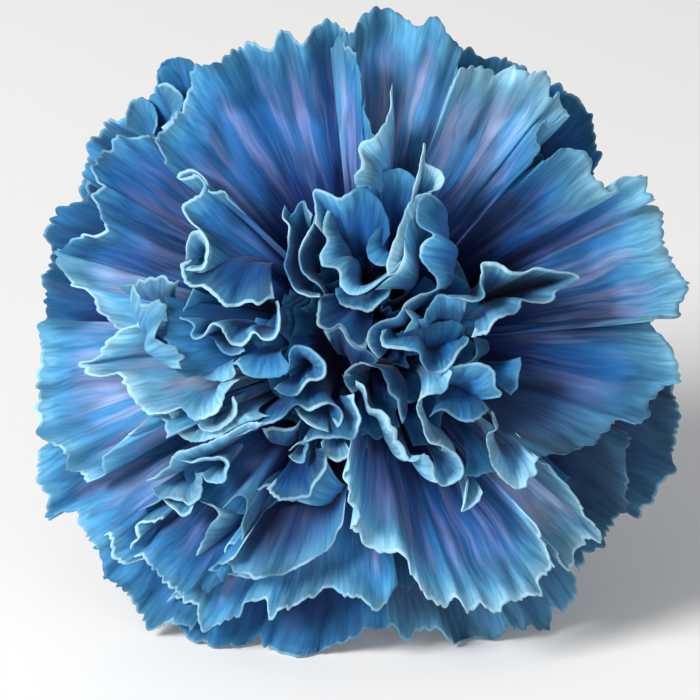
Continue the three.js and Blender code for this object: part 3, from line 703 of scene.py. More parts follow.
petal("behind_south_west", "back", -3.5, -0.7, [
    -24, -37, -21, -38.5, -18.5, -39.3, -16.5, -38.7, -15.8, -39.3, -13.2, -37.3, -11.8, -39.5,
    -9, -40.6, -6, -40.3, -5.5, -39, -3, -38, -0.7, -36.9, 3, -36], rime=0.4, deepen=1.8)
petal("behind_west_low", "back", -2, 0.0, [
    -33.7, -26, -32.9, -29.5, -32.3, -31, -30.8, -31.5, -29, -33.8, -27.8, -36, -27, -36.7, -24, -35.8,
    -22, -37], rime=0.5)
petal("south_west_lobe", "outer", (-1.5, 1, 1, 1, 1), -0.3, [
    -23.5, -21.2, -25, -22, -26.3, -22.8, -27.6, -23.1, -28.6, -23.4, -28.4, -24.4, -28.3, -25.3,
    -29.3, -25.9, -29.8, -26.7, -29.2, -27.4, -27.9, -27, -27, -27.8, -26.2, -29, -25.5, -29.8,
    -24, -30.5, -22.7, -31.8, -21, -31, -19.2, -31.4, -18, -30, -18.8, -28.9, -16, -27], rime=0.9,
    deepen=0.8, rows=22)
petal("south_face", "middle", -1, 0.7, [
    -20.9, -20.3, -19.9, -20.5, -18.7, -21.1, -18.3, -21.8, -18.8, -22.7, -19.6, -24, -20.1, -25.2,
    -20.9, -26.4, -21.3, -27.5, -20.9, -28.4, -20, -29, -18.7, -29.1, -17.9, -29.5, -14, -29.9],
    belly=(-14, -24), roll=3.5, crest=0.5)
# A dark petal laid under the south-west lobes, dark with painted shade, with no pale edge.
petal("south_west_shade", "middle", -2.5, -0.5, [
    -23, -15.5, -22, -18.5, -19.5, -20.5, -17, -21.8, -14, -21.8, -11, -20.5, -9, -18.5], rime=0,
    deepen=0.8)
petal("south_teal_lobe", "middle", 1, -1.7, [
    -12.2, -18.6, -11, -19.6, -9.9, -20, -8.6, -19.8, -7, -19.4, -6.4, -18.1, -5.6, -17.2, -4.9, -16.4,
    -4.9, -15, -5.2, -13.6], belly=(-8, -14.5), roll=3.5, crest=0, rime=0.6, violet=0)
# Its claw end is painted near black with shade, in the pocket under the south-west ruffles.
petal("south_scoop", "middle", 0.5, -0.3, [
    -17.8, -21.3, -17, -20.4, -16, -19.8, -15.2, -19.5, -14.6, -20.3, -14.8, -21.3, -15.3, -23,
    -15.4, -24.5, -15.5, -25.8, -16.2, -25.9, -17, -25.6, -17.4, -26.5, -17.3, -27.5, -16.7, -28.3,
    -16.3, -29, -14.5, -29.6, -13.8, -30, -12, -29.6, -10.5, -29.5, -9, -28.7, -7, -27.8, -4.2, -25.5,
    -2.9, -22.5], rime=0.6, deepen=6, violet=0.1, teal=0.5, rows=20)

# West petals
# Pale blades that catch the light, paler still with painted light in their tone, with ruffles crowded over
# them. They grow from the left side of the claws.
petal("west_low_fan", "outer", (-1.5, 0, 0, 0), 0.3, [
    -40, -13, -40.6, -14, -40.9, -17, -39.8, -21.5, -39.3, -22.6, -37.5, -21.7, -36.2, -21.6,
    -34.9, -24, -33.8, -25.5, -30, -26.5], rime=0.5, deepen=-0.2)
petal("west_ruffle_top", "middle", 1, 0.6, [
    -27.3, -18, -26.3, -17.4, -24.6, -16.3, -24, -15.1, -23, -14.3, -21.5, -13.8, -20.3, -13.3,
    -18.8, -12.7, -17.3, -12, -16, -11.2, -14.5, -10.7, -12.8, -10.6], belly=(-20, -18))
petal("west_ruffle_pocket", "middle", 1.5, 1.0, [
    -22.8, -15.4, -21.5, -15.4, -20, -15, -18.3, -14.9, -17.2, -15.1, -16.8, -15.8, -17.2, -16.8,
    -17.4, -17.7, -18.5, -18, -19.8, -17.8, -20.3, -16.8], belly=(-18.8, -16.3), roll=0.9)
petal("west_ruffle_curl", "middle", 1, 1.0, [
    -20.5, -16.8, -20.3, -18, -20.5, -19.2, -21.2, -20.3, -22, -20.9, -22.8, -20.3, -24, -20.2,
    -25, -20.2, -25.8, -19.8, -26.5, -18.8], belly=(-23.5, -17.5), roll=1.8)
petal("west_ruffle_lobe", "middle", 0.5, 0.3, [
    -28.3, -21.7, -27.3, -21, -26, -20.6, -25.3, -20, -24.2, -21, -23.6, -21.5, -22.7, -22.1,
    -21.9, -21.9, -21.5, -21, -21.4, -20.2], belly=(-22.5, -19), roll=1)
petal("west_ruffle_rim", "outer", (-2, 0.5, 0.5, 0.5), -0.2, [
    -35.5, -23, -34, -25.5, -32.8, -24.8, -31.9, -25, -31.6, -26.2, -31.2, -27.3, -30.3, -28, -29, -28,
    -28, -27.8, -25, -28.5], rime=0.9)
petal("west_fan", "outer", (-1.5, 1.5, 1.5, 1.5, 1.5, 1.5), 0.5, [
    -40.2, 2.3, -40.8, 0.5, -41, -5, -40.8, -10.5, -41.2, -11.5, -39.5, -13.2, -37, -14.5, -37.2, -16.5,
    -35.2, -17.2, -34, -18, -33, -17.2, -32.6, -15.3, -30.5, -13.2, -27.8, -10.9, -25.7, -9.6,
    -24.6, -11, -24.4, -12.4], rime=(0, 0.9, 0.9, 0.9, 0.9, 0.9), deepen=-0.3, rows=22)
petal("west_over", "outer", 3, 1.1, [
    -27, 2, -29.9, 0.9, -31, 0.3, -31.8, -1, -33, -2.2, -35.1, -3.4, -34, -3.6, -34.2, -4.6, -32, -4.5,
    -30, -4.8, -29.5, -6, -28.8, -7.7, -28.2, -8.6, -26.8, -9.6, -25, -9.5], rime=1, deepen=-0.5)
petal("west_over_rim", "outer", 4, 0.6, [
    -28.8, 6, -28.3, 5.6, -27.5, 4.2, -26.6, 3.8, -25.8, 3.8, -25.3, 2.6, -25.6, 1, -25.8, 0, -25.4, -1,
    -24, -1.8, -23, -3, -22.3, -4], belly=(-31, -3), roll=4, crest=0.5)
petal("west_inner_face", "outer", 2.5, (-0.7, -0.2, 0.1, 0.2), [
    -25, 5, -24.6, 3, -24.8, 1, -24.6, -1, -23.4, -3, -22, -5], rime=0, deepen=-0.1, violet=0.2)
petal("west_fold", "outer", 0.5, 0.9, [
    -38.4, 11, -37.9, 9, -37.5, 7.6, -36.6, 6.7, -35, 5.9, -33.2, 3.3, -32, 2.1, -29.8, 0.8, -28, 0],
    rime=(0, 1, 1, 1, 1))
petal("west_fold_top", "outer", 0, 0.6, [
    -30.5, 6.2, -29.3, 6.4, -28.3, 7, -27, 6.8, -25.5, 7.1, -24, 6.8, -23, 7], belly=(-26, 2), roll=3)
petal("west_high_fan", "outer", 1, -0.7, [
    -26, 25.3, -29, 25, -31.5, 24.6, -31.7, 23.2, -33, 23.3, -34.2, 21.3, -33.8, 19.8, -33, 19.3,
    -34.2, 17.8, -33.4, 15.9, -32.2, 14, -32.8, 12.8, -35.7, 12.2, -38.2, 10.6],
    rime=(0.8, 0.8, 0.8, 0.8, 0.8, 0.8, 0), deepen=0, rows=20)
petal("behind_west", "back", -3, -0.9, [
    -34.8, 19.8, -34.8, 17.8, -36.8, 16.6, -38.5, 15.2, -40.2, 13, -39.8, 11.5, -40, 8.5, -40.3, 7,
    -40, 3.5, -40.2, 2.3, -39, -2], rime=0.5, deepen=1.2)
petal("north_west_lip", "middle", 0.5, -0.2, [
    -17, 17, -17.7, 18, -19.4, 18.2, -20.3, 19.8, -22, 20.8, -23.4, 19.8, -20.6, 19.9, -20, 18.8,
    -20.6, 17.5, -22.6, 16.1, -22.3, 14.9, -20.4, 12.9, -19.5, 10, -20.4, 8.1, -21.3, 8.2], deepen=-0.3)

# Guard petals
# The lowest and oldest petals, a ring of seven spread flat against the calyx teeth behind all the others.
# They grow from the outside of the claws, and show only from the side and from behind.
GUARD_COUNT = 7
GUARD_REACH = 31
GUARD_TURN = 0.4
GUARD_HALF = 0.62  # half of a petal's width, as a share of its place in the ring
for number in range(GUARD_COUNT):
    turns = GUARD_TURN + (number + np.linspace(-GUARD_HALF, GUARD_HALF, 9)) * 2 * math.pi / GUARD_COUNT
    guard_rim = GUARD_REACH * np.column_stack([np.cos(turns), np.sin(turns)])
    petal(f"guard_petal_{number + 1}", "back", -7, -0.6, guard_rim, rime=0)

# The heart's petals
# The youngest petals, narrow and folded, that crowd upright round the dark middle of the bloom with their
# margins rolled over.
petal("north_blade", "middle", 3, 0.9, [
    3.1, 31.5, 3.1, 29, 2.8, 27.4, 1.9, 26, 1.1, 24.6, 0.1, 24, -0.7, 23.4, -0.8, 22, -0.7, 20.8,
    -1.4, 19.5, -1.2, 18.2], belly=(4.5, 20), roll=3, crest=0)
petal("north_tip", "middle", 1.5, 1.3, [
    5.4, 16, 5.9, 18.4, 6.6, 20.8, 7.2, 24.1, 7.3, 21.2, 8.9, 20.6, 9.7, 19.6, 9.3, 18.4, 8, 17.9],
    belly=(7, 18.3), crest=0)
petal("north_tip_wall", "inner", 1, 1.2, [
    8, 18, 6.2, 17.2, 5.1, 16, 4.3, 14.3, 3.6, 12.4, 3, 10.8, 2.6, 9, 2.6, 7.4], belly=(9, 9), roll=4.5,
    rime=0.6)
petal("inner_west", "inner", 0, -0.1, [
    -10.1, 16.2, -10.2, 14.8, -9.6, 13.8, -9.5, 12, -9.8, 10, -9.9, 8.5, -9.3, 6.8, -8.3, 5.4, -7.2, 5,
    -5.6, 5], belly=(-6.5, 11), roll=0.6, rime=1.1)
petal("inner_west_behind", "inner", -1, 0.5, [
    -9.6, 14.6, -9, 15.2, -8.4, 16.3, -7.8, 16.7, -7.4, 15.8, -6.6, 15], belly=(-8, 11), roll=1.5)
# Its right side is darkened with painted shade, and loses its pale edge there.
petal("inner_north", "inner", 0.5, (0.1, 0.2, 0.2, 0.1, -0.4, -1.2, -1.4), [
    -6.4, 14, -6.2, 15, -6.4, 17, -6.4, 18.2, -4.3, 17.6, -3.5, 17.1, -2, 17.7, -0.9, 18.3, 0.3, 18.1,
    1.6, 16.8, 2.6, 14.8, 3, 12.6], belly=(-0.5, 7), roll=6, rime=(0.9, 0.9, 0.9, 0.9, 0.6, 0, 0, 0))
petal("inner_north_low", "inner", 0, -0.4, [
    -6.2, 15, -6.5, 13.8, -7.2, 12.6, -7.8, 11.5, -8.2, 9.5, -8, 8.2, -7, 7.3, -5.8, 6.3, -5.1, 5.2],
    belly=(-4, 11), roll=0.6, rime=1.1)
petal("heart_west", "heart", -1, -1.5, [
    -5.1, 5.2, -5.6, 4.8, -6, 4, -6, 2.5, -5.9, 1.5, -5, 0.8, -4.3, 1, -3.5, 1.5, -2.8, 1, -2.4, 0.2,
    -1.8, -0.7, -1, -1.2, 0, -1.4], belly=(2, 6), roll=5)
petal("heart_outside", "heart", -1.3, -1.8, [
    -5.2, 0.6, -4.3, 0.8, -3.5, 1.3, -2.8, 0.8, -2.4, 0, -1.8, -0.9, -1, -1.4, 0, -1.6, 0.8, -2.2,
    1.5, -3], belly=(-1.5, -6), roll=3)
petal("heart_north", "heart", 0.5, 0.5, [
    -4.7, 15.6, -5.2, 14.4, -5.3, 13, -4.9, 11.6, -5.6, 10, -5.5, 8.6, -3.7, 8.3, -3.3, 7.3, -3.2, 6.3,
    -2.2, 5.4, -1, 5.2, 0.5, 5.9, 2, 7, 3.6, 8.3, 4.4, 9.2], belly=(1.5, 13),
    roll=(1, 2, 3.4, 3, 1, 0.5, 0.5), crest=0.8)
petal("heart_middle", "heart", -1, 0.1, [
    -3.6, 6, -3.5, 4.7, -3, 3.9, -1.5, 3.4, -0.5, 3.3, 0.2, 3.1, 1.5, 4, 2.5, 5, 3, 6.1, 3.2, 7.2,
    4, 8.4], belly=(0, 7))
petal("heart_lobe", "heart", 0, 0, [
    1.6, 13.4, 0.7, 12.4, 0.2, 11, 0.3, 9.8, 0.9, 8.9, 2, 8.6, 3.2, 8.6, 4.3, 8.9], belly=(4.2, 13),
    roll=3.2, crest=0.4, rime=(0, 0.2, 0.3, 0.6, 0.8, 0.8))
petal("inner_east", "inner", 0.5, -0.1, [
    8.4, 17.4, 7.2, 17.3, 6.3, 16.4, 6.2, 14.5, 6.5, 13.7, 8.1, 12.5, 7.2, 11.9, 6.6, 11, 6.6, 9.5,
    7.7, 8.1, 8.6, 7, 8.6, 6, 8, 5.4], belly=(18, 9.5), roll=(3, 5, 5, 4, 4.5, 5, 4, 3, 2.5), crest=0)
petal("heart_east", "heart", 0, 0.1, [
    8.6, 6, 7.6, 5.3, 6.3, 5, 5.2, 4.3, 4.6, 3.5, 3.9, 2.5, 2.2, 1.9, 1, 1.5, 0.4, 0.9, 0.3, -0.5,
    0.6, -1.6, 1.5, -2.7], belly=(6, 0.5), roll=(1, 1.6, 1.4, 1.2))

# Ruffles east of the heart
# Small curled blades between the heart and the east fans, and the crumpled shelf below them, standing in
# folds on their narrow claws.
petal("east_curl", "inner", 0, -0.1, [
    6.3, 2.1, 7.1, 2.2, 7.3, 3, 8, 4, 8.8, 5, 10, 5, 11.2, 4.8, 12.3, 4.4], belly=(11, -6),
    roll=(1.5, 2, 3, 3), crest=0)
petal("east_small_curl", "heart", 0, 0.7, [
    4.6, 3.6, 5.2, 2.8, 5.5, 2.1, 5.1, 1.4, 4.6, 0.5], belly=(9, 2), roll=2.2, crest=-1)
petal("east_cup_wall", "inner", -2, -0.5, [
    3.6, 0.2, 5, 0.8, 7, 1.4, 9, 1.7, 11, 1.8, 12, 1.2], belly=(8, -8), roll=3, crest=-1.5, rime=0)
petal("east_pocket", "inner", 0, -0.4, [
    1.9, 0.8, 1.8, -0.4, 2.2, -1.3, 4.7, -1.5, 6.5, -1.9, 6.8, -3, 7.5, -4.2, 8.5, -4.4, 10, -3.9,
    10.8, -3, 11.4, -1.8, 12.4, -0.8, 12.6, -0.1], belly=(8, 3), roll=(1.2, 2.5, 2.2, 2, 1.6, 0.5))
petal("east_tongue", "middle", 1, -0.2, [
    9.8, 5, 11.3, 4.8, 12.8, 4.25, 13.9, 4.6, 14.3, 5, 14.1, 6.5, 14.2, 9, 14.6, 9.3, 15.7, 9.3,
    16.8, 8.8, 17.6, 8.1, 19.2, 7.8, 21, 8.6, 22.2, 8.3, 24, 8.1, 25.3, 7.8, 26.3, 7.3, 23.3, 5.6,
    23.4, 4.9, 22.4, 4.1, 20.8, 4.3, 19.4, 4.5, 19, 3.6, 17, 2.4, 16, 2.2, 15.4, 1.4, 15, 0.6, 14, 0.3,
    12.9, 0], belly=(15.5, 5.5), roll=2.4, rime=(1, 1, 0.9, 1, 1, 0.8, 0.5, 0.4, 0.7, 1, 1, 1),
    deepen=0.7, violet=0, teal=0.6)
petal("east_low_curl", "middle", 0, -1.2, [
    13.2, 0, 13.6, -1, 13.8, -1.8, 13.2, -2.8, 12, -3.3], belly=(18, -1), roll=2.5)
petal("south_east_brow", "middle", 0.5, 0.0, [
    10.2, -4, 11, -3.5, 12.4, -3.3, 14.3, -3.4, 15.3, -3.9, 15.9, -5, 16, -6, 16.6, -6.9, 16.3, -7.5],
    belly=(10, -8.5), roll=5, rime=0.5)
petal("south_east_lip", "middle", 0.5, -0.7, [
    7.6, -9.9, 8.3, -9.3, 9.6, -9.2, 10.6, -9.6, 12.3, -10.5, 13.3, -10.2, 14.5, -9.3, 15.2, -9],
    belly=(11.5, -4), roll=4)
petal("south_east_slip", "middle", -1, -0.4, [
    19, -2.6, 18.9, -3.4, 18.6, -4.8, 18.4, -6, 17.8, -7.2], belly=(14, -4), roll=2.5, rime=0.3)
petal("south_east_ruffle", "middle", 0, 1.3, [
    15.2, -9, 15.6, -10, 15.9, -11.3, 15.1, -11.9, 14.9, -13, 15.3, -15, 16.1, -16.4, 17, -17.6,
    18.4, -18.6, 19.6, -18.4, 19.9, -17.4, 21, -17, 20.8, -15.6, 21.3, -14.4, 20, -13.1, 18.8, -12],
    belly=(17.5, -11), roll=3, rime=0.5)
petal("south_east_shelf", "middle", -0.5, 0.0, [
    12.1, -17, 13.5, -17.3, 14.8, -16.8, 16, -16.4], belly=(13.5, -11), roll=4, rime=0.3)
petal("south_east_bright", "inner", 0.5, 1.0, [
    10.4, -4.2, 10.2, -5.2, 10, -6.3, 9.4, -6.8, 8, -6.9, 7, -7.3, 6.4, -7.8], belly=(8, -2.5),
    roll=2.5)
petal("south_east_side", "inner", 0, 1.3, [
    6.5, -7.6, 6.3, -8.6, 6.7, -10.2, 7.3, -12, 7.9, -13, 9.5, -13.5, 11, -14.3], belly=(11, -10),
    roll=0.8)
petal("south_east_loop", "inner", 0, 0.9, [
    9.2, -13.5, 10.6, -14, 11.5, -15.1, 12, -16.4, 11.7, -17.5, 10.6, -18.1, 9.4, -18.2, 8.6, -17.6,
    8.1, -16.6], belly=(9.6, -15.6), roll=1.4)
petal("south_east_hook", "middle", 1, 1.3, [
    12.4, -17.9, 12.3, -19.3, 11.9, -20.6, 11.8, -21.4, 12.8, -21, 14, -20.2, 14.5, -19.3],
    belly=(13.5, -17.5), roll=1.2)

# Ruffles south of the heart
# Long narrow ribbons that stand on edge over the violet blade, with their lips rolled towards the middle.
# They are as thin as all the others, and only their folds keep them up.
petal("south_ribbon", "inner", 0.5, 0.9, [
    -1.3, -5.4, -0.3, -6, 0, -7, 0.2, -8.3, 0.5, -8.8, 1.8, -9, 2.7, -9.9, 2.9, -10.9, 3.6, -11.4,
    3.7, -12.6, 4.4, -13.2, 4.9, -14.3, 5.5, -15.2, 6.3, -15, 7.1, -14.4, 7.8, -15, 8.2, -16,
    8.4, -17.3, 8.9, -18], belly=(-1, -17), roll=(1, 1.3, 1.8, 2), crest=1, rime=1.3)
petal("heart_south", "heart", 0, -1.8, [
    -2.8, -4.9, -2.7, -4.4, -1.3, -3.3, 0, -3.4, 1.8, -4, 2.3, -5, 2.9, -6.9, 3.8, -7.8, 4, -9,
    4.4, -10.8], belly=(8, -4), crest=0)
petal("heart_south_inside", "heart", -1.5, 0.0, [
    -2.8, -4.7, -2.4, -6, -1.7, -7], belly=(1.5, -5), roll=2.5)
petal("south_bright_lip", "inner", 0, 0.0, [
    -1.6, -7, -1.5, -8, -0.9, -9.5, -0.7, -10.2, -1.1, -11.5, -1.7, -12.4, -3, -12.5, -5, -12.4,
    -6.5, -12.6, -8, -13.1], belly=(-5, -8))
petal("south_long_lip", "inner", 0.5, -0.7, [
    -17, -12.8, -14.5, -11.6, -12, -10.6, -10.5, -10, -9.3, -8.8, -8.6, -8.4, -7.8, -8.6, -7, -9,
    -5.5, -8.5, -4.6, -8.2, -3.6, -8.6, -2.8, -9.5, -2.8, -10.2, -3.1, -10.8, -3.6, -11.1],
    belly=(-8, -4), roll=2.5)
petal("south_long_fold", "inner", 0, -0.2, [
    -8.8, -8.8, -7.9, -9.8, -6.8, -10.8, -5.5, -11.3, -4.6, -11.6], belly=(-5, -8), roll=1)
petal("south_shade", "inner", -2, -0.9, [
    -12.8, -11.3, -11.5, -11.2, -9.8, -11.3, -8.7, -11, -8, -10.2], belly=(-10.5, -17), roll=3)
petal("south_small_curl", "inner", 0, 0.8, [
    -9.6, -14, -9, -13.4, -8, -13, -7.2, -13.2, -7.4, -14.2, -7.7, -15.4, -8.6, -15.3, -9.5, -14.6],
    belly=(-8.4, -14), roll=0.7)
petal("south_small_lip", "inner", 0, 1.0, [
    -5.6, -13, -5.2, -14, -4.4, -14.9, -3.6, -15.3, -2.8, -15.1, -2.2, -14.5, -2.1, -13.8],
    belly=(-4, -11), roll=1.5)
petal("south_west_drape", "middle", 0, 0.3, [
    -5, -14.9, -5.5, -16, -5.9, -17, -7, -17.4, -7.6, -18.6, -8.3, -19.8, -8.6, -20.2], belly=(-1, -23),
    roll=5, crest=0)
petal("south_west_lip", "middle", 0, -1.8, [
    -15, -18.2, -14, -18.6, -13.2, -19, -12.5, -18.5, -11.7, -18.4, -11, -18.9, -10.4, -19.7,
    -9.3, -20.2, -8.5, -20.1], belly=(-10.5, -14), roll=1.5)

# Ruffles west of the heart
# Cups, loops and lobes with thin pale rims, crowded between the heart and the west blades. Each is one
# small petal, or the curled side of one, on its own narrow claw.
petal("west_lip", "middle", 1, -1.3, [
    -23, 9, -22.7, 7.6, -21.8, 6.2, -20, 6.2, -18.8, 5.3, -17.6, 4, -16.6, 3.6, -15.3, 3.9, -14, 4.1,
    -13.4, 3.8, -12, 4.5, -11.2, 4.5], belly=(-13, 14), roll=(3, 7, 7, 5), crest=0.5)
petal("west_cup", "middle", 1.5, 0.0, [
    -11, 4.4, -10.6, 3.6, -10.7, 1.8, -10.8, 0.5, -11.6, -0.3, -12.8, -0.3, -13.8, 0.5, -14.7, -0.4,
    -15.5, -1, -16.6, -0.9, -17.3, 0.2, -18, 1.2, -18.8, 1.6, -19.6, 0.8, -20.3, 0.1, -21.3, -0.3,
    -21.6, 0.4, -21.1, 1.2, -21.6, 2, -22.9, 2.3, -22.7, 3.2, -22, 4.3, -21.5, 5.5, -21.3, 6],
    belly=(-15.5, 3), roll=(0.5, 0.7, 1.6, 1.8, 1.6, 1.8, 1.6), deepen=-0.5)
petal("west_under_cup", "middle", 0, 0.0, [
    -19.6, 0, -18.8, -0.2, -18.2, -1, -17.6, -1.9, -16.8, -2.3, -15.8, -2.1, -14.9, -1.7],
    belly=(-17, 2), roll=1)
petal("west_oval", "middle", 2, 1.0, [
    -22.3, 9.4, -22.2, 10.4, -21.9, 11.8, -21.4, 12.8, -20.5, 13.1, -19.8, 12.5, -19.5, 11.3, -19.5, 10,
    -19.7, 9, -20.3, 8.2, -21.2, 8, -22.3, 8.3], belly=(-20.9, 10.4), roll=1.2, crest=-1)
petal("west_scoop", "middle", 0.5, 0.7, [
    -21.6, -3.6, -21, -4.6, -20, -5.2, -18.5, -5.5, -17.5, -5.3, -16.5, -4.8, -16, -4.4],
    belly=(-18.3, 0), crest=0.5)
petal("west_loop", "inner", 1, 0.0, [
    -16.5, -3.3, -15.8, -3.4, -15, -4.4, -14, -4.9, -12, -5, -10.8, -4.8, -9.8, -4.2, -9.4, -3.4],
    belly=(-12.5, 0), roll=2.5, crest=-1)
petal("west_loop_ring", "inner", 1, -0.2, [
    -9.8, -4.2, -9.4, -3.4, -9.4, -2, -9, -1.2, -8.4, -1, -7, -1.5, -5.8, -2.4, -5.1, -3.5, -5.2, -4.8,
    -5.8, -5.3, -6.8, -5.4, -7.5, -6, -8.3, -6.9, -9.3, -7.2, -10.5, -6.9, -11.3, -6.3],
    belly=(-8.3, -3.6), roll=1.5)
petal("west_small_lobe", "middle", 1, 0.8, [
    -24, -8, -23, -8.6, -22.3, -9.4, -21, -10.3, -20.3, -10, -19, -9.5, -18, -9, -17.7, -8.2, -17.5, -7,
    -17, -6.2, -15.8, -5.2], belly=(-20.5, -5.5), roll=2.5, crest=0)
petal("west_small_loop", "middle", 0.5, 1.3, [
    -20.7, -10.7, -20, -11.5, -19, -11.8, -17.5, -11.2, -16.5, -10, -16, -8.5, -16.3, -7.3],
    belly=(-18.5, -9), roll=1)
petal("west_small_skirt", "middle", 0, 1.0, [
    -24.5, -9, -24, -10.5, -23.9, -11.6, -23, -12.4, -22, -13, -20.5, -13.1, -19, -12.6, -17.5, -11.8,
    -16, -11, -14, -10.2, -12, -9.7], belly=(-20, -8), crest=0)

# The hollow's walls
# Two dark petals low in the heart, darkened towards their claws with painted shade, which close the
# hollow in its middle from the north and the east.
# They come after the ruffles because each petal's waves follow from its number.
petal("north_hollow", "inner", -1, 0.3, [
    0.3, 18.6, 1.8, 20.2, 3.6, 20.8, 5.4, 20.2, 6.6, 18.8], belly=(3.5, 9), roll=6, crest=-1, rime=0,
    deepen=1.5)
petal("heart_cup_east", "inner", 0.5, 0.4, [
    5.9, 15.2, 5, 13.9, 4.6, 12.2, 4.6, 9.8, 3.9, 8.4, 2.4, 6.9, 0.8, 5.7], belly=(8.5, 6.5), roll=4,
    crest=0, rime=(0.6, 0.9, 0.9, 0.8, 0.4), deepen=0.8)

# Deep petals
# Small crumpled petals low in the bloom that fill it between the standing ones, nearly all in shade.
# Their colour turns navy close to their rims, partly the dye and partly painted shade.
# They stand round the middle of the claws, each a little off its turn.
DEEP_COUNT = 22
DEEP_TURN = 2.4  # from each petal to the next, in radians
deep_draw = np.random.default_rng(7)
for number in range(DEEP_COUNT):
    angle = number * DEEP_TURN + deep_draw.uniform(-0.2, 0.2)
    turns = np.linspace(-1, 1, 7) * deep_draw.uniform(0.35, 0.6) + angle
    spread = deep_draw.uniform(5, 16) + deep_draw.uniform(-1.3, 1.3, 7)
    deep_rim = np.column_stack([spread * np.cos(turns), spread * np.sin(turns)])
    petal(f"deep_petal_{number + 1:02d}", "deep", -6, 0.1, deep_rim, rows=14)

# The claws
# The narrow pale feet of all the petals, packed into one ribbed bundle that fills the calyx. Over its
# mouth the bundle turns navy, partly with the dye and partly as painted shade, as dark as the deep
# petals round it.
CLAW_PROFILE = [(2.6, -21), (4.4, -17), (5, -9), (5.3, 0), (5.2, 2.6), (4, 6), (2, 9), (1, 9.8)]
CLAW_COUNT = 26
CLAW_RIDGE = 0.12
CLAW_ROWS = 26
CLAW_COLUMNS = 156
CLAW_COLOURS_AND_SHADE = [(0.0, (0.45, 0.55, 0.30)), (0.6, (0.16, 0.30, 0.34)), (0.8, INDIGO), (1.0, NAVY)]
CLAW_ROUGH = 0.6


def ring(radii, heights, columns, ribs=0, rib_depth=0.0):
    """Rows of points round the flower's line, one row for each radius and height, in mm."""
    angle = np.linspace(0, 2 * math.pi, columns, endpoint=False)
    radii = np.asarray(radii)[:, None] + rib_depth * np.cos(ribs * angle)
    heights = np.asarray(heights)[:, None] + 0 * angle
    return np.stack([radii * np.cos(angle), radii * np.sin(angle), heights], axis=-1)


def ring_faces(rows, columns, closed=False):
    """The quads round a ring of rows, with the last row joined to the first where it is closed."""
    at = np.arange(rows * columns).reshape(rows, columns)
    at = np.vstack([at, at[:1]]) if closed else at
    after = np.roll(at, -1, axis=1)
    return np.stack([at[:-1], after[:-1], after[1:], at[1:]], axis=-1).reshape(-1, 4)


def smooth_profile(profile, steps):
    line, far = curve_through(profile, 0.1)
    where = np.linspace(0, far[-1], steps)
    return np.interp(where, far, line[:, 0]), np.interp(where, far, line[:, 1])


def turned_piece(name, grid, layers, material):
    """A round solid from rows of points, with a flat cap on its first and last row."""
    rows, columns = grid.shape[:2]
    caps = [np.arange(columns)[::-1], np.arange(columns) + (rows - 1) * columns]
    return add_mesh(name, grid.reshape(-1, 3), ring_faces(rows, columns), layers, material, caps)


claw_paint = bpy.data.materials.new("pale_claw")
claw_paint.use_nodes = True
claw_nodes = Nodes(claw_paint.node_tree)
claw_shader = claw_paint.node_tree.nodes["Principled BSDF"].inputs
claw_nodes.join(claw_nodes.ramp(claw_nodes.attribute("up"), CLAW_COLOURS_AND_SHADE), claw_shader["Base Color"])
claw_shader["Roughness"].default_value = CLAW_ROUGH
claw_grid = ring(*smooth_profile(CLAW_PROFILE, CLAW_ROWS), CLAW_COLUMNS, CLAW_COUNT, CLAW_RIDGE)
claw_up = np.interp(claw_grid[..., 2], [CLAW_PROFILE[0][1], CLAW_PROFILE[-1][1]], [0, 1])
claws = turned_piece("claw_bundle", claw_grid, {"up": claw_up.ravel()}, claw_paint)
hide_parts("bloom")
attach(claws, "root")

# Calyx
# A firm green tube that grew round the claws and holds them, with five pointed teeth, fine ribs and a
# whitish wax on its skin.
CALYX_LENGTH = 28
CALYX_RADIUS = 6.7
CALYX_FOOT = 0.62  # radius at its foot, as a share of the widest
CALYX_FULL = 1.35  # how soon it has swelled out: 1 is at the mouth
CALYX_WALL = 0.9
CALYX_TEETH = 5
TOOTH_FOOT = -5.5
TOOTH_TIP = 0.8
TOOTH_SHARP = 1.15
CALYX_RIBS = 35
RIB_HEIGHT = 0.07
TIP_THIN = 0.35  # what is left of the wall at its edge
TUBE_COLUMNS = 280
CALYX_ROWS = 40
CALYX_COLOURS = dict(dark=(0.10, 0.20, 0.07), light=(0.20, 0.33, 0.13), wax=(0.42, 0.52, 0.38),
                     tip=(0.52, 0.50, 0.33))
WAX_SHARE = 0.45  # how much the wax covers where it is thickest
GREEN_FINISH = {
    "Subsurface Weight": 0.1,
    "Subsurface Radius": (0.6, 1.0, 0.3),
    "Subsurface Scale": 1 * MM,
    "Specular IOR Level": 0.4,
}


def waxy_skin_group():
    """The whitish wax and the fine lengthwise fibres of a green skin, from its own measures in mm."""
    takes = {"Round": 0.0, "Along": 0.0, "Fibres a mm": 2.0}
    tree, n, takes, out = group("waxy_skin", takes, ("Wax", "Fibres"))
    across, along = takes["Round"], takes["Along"]
    fibres = n.noise(n.times(across, takes["Fibres a mm"]), n.times(along, 0.12), 3.0)
    wax = n.noise(n.times(across, 0.35), n.times(along, 0.22), 4.0)
    n.join(n.between(wax, 0.35, 0.68), out["Wax"])
    n.join(n.between(fibres, 0.33, 0.67), out["Fibres"])
    return tree


WAXY_SKIN = waxy_skin_group()


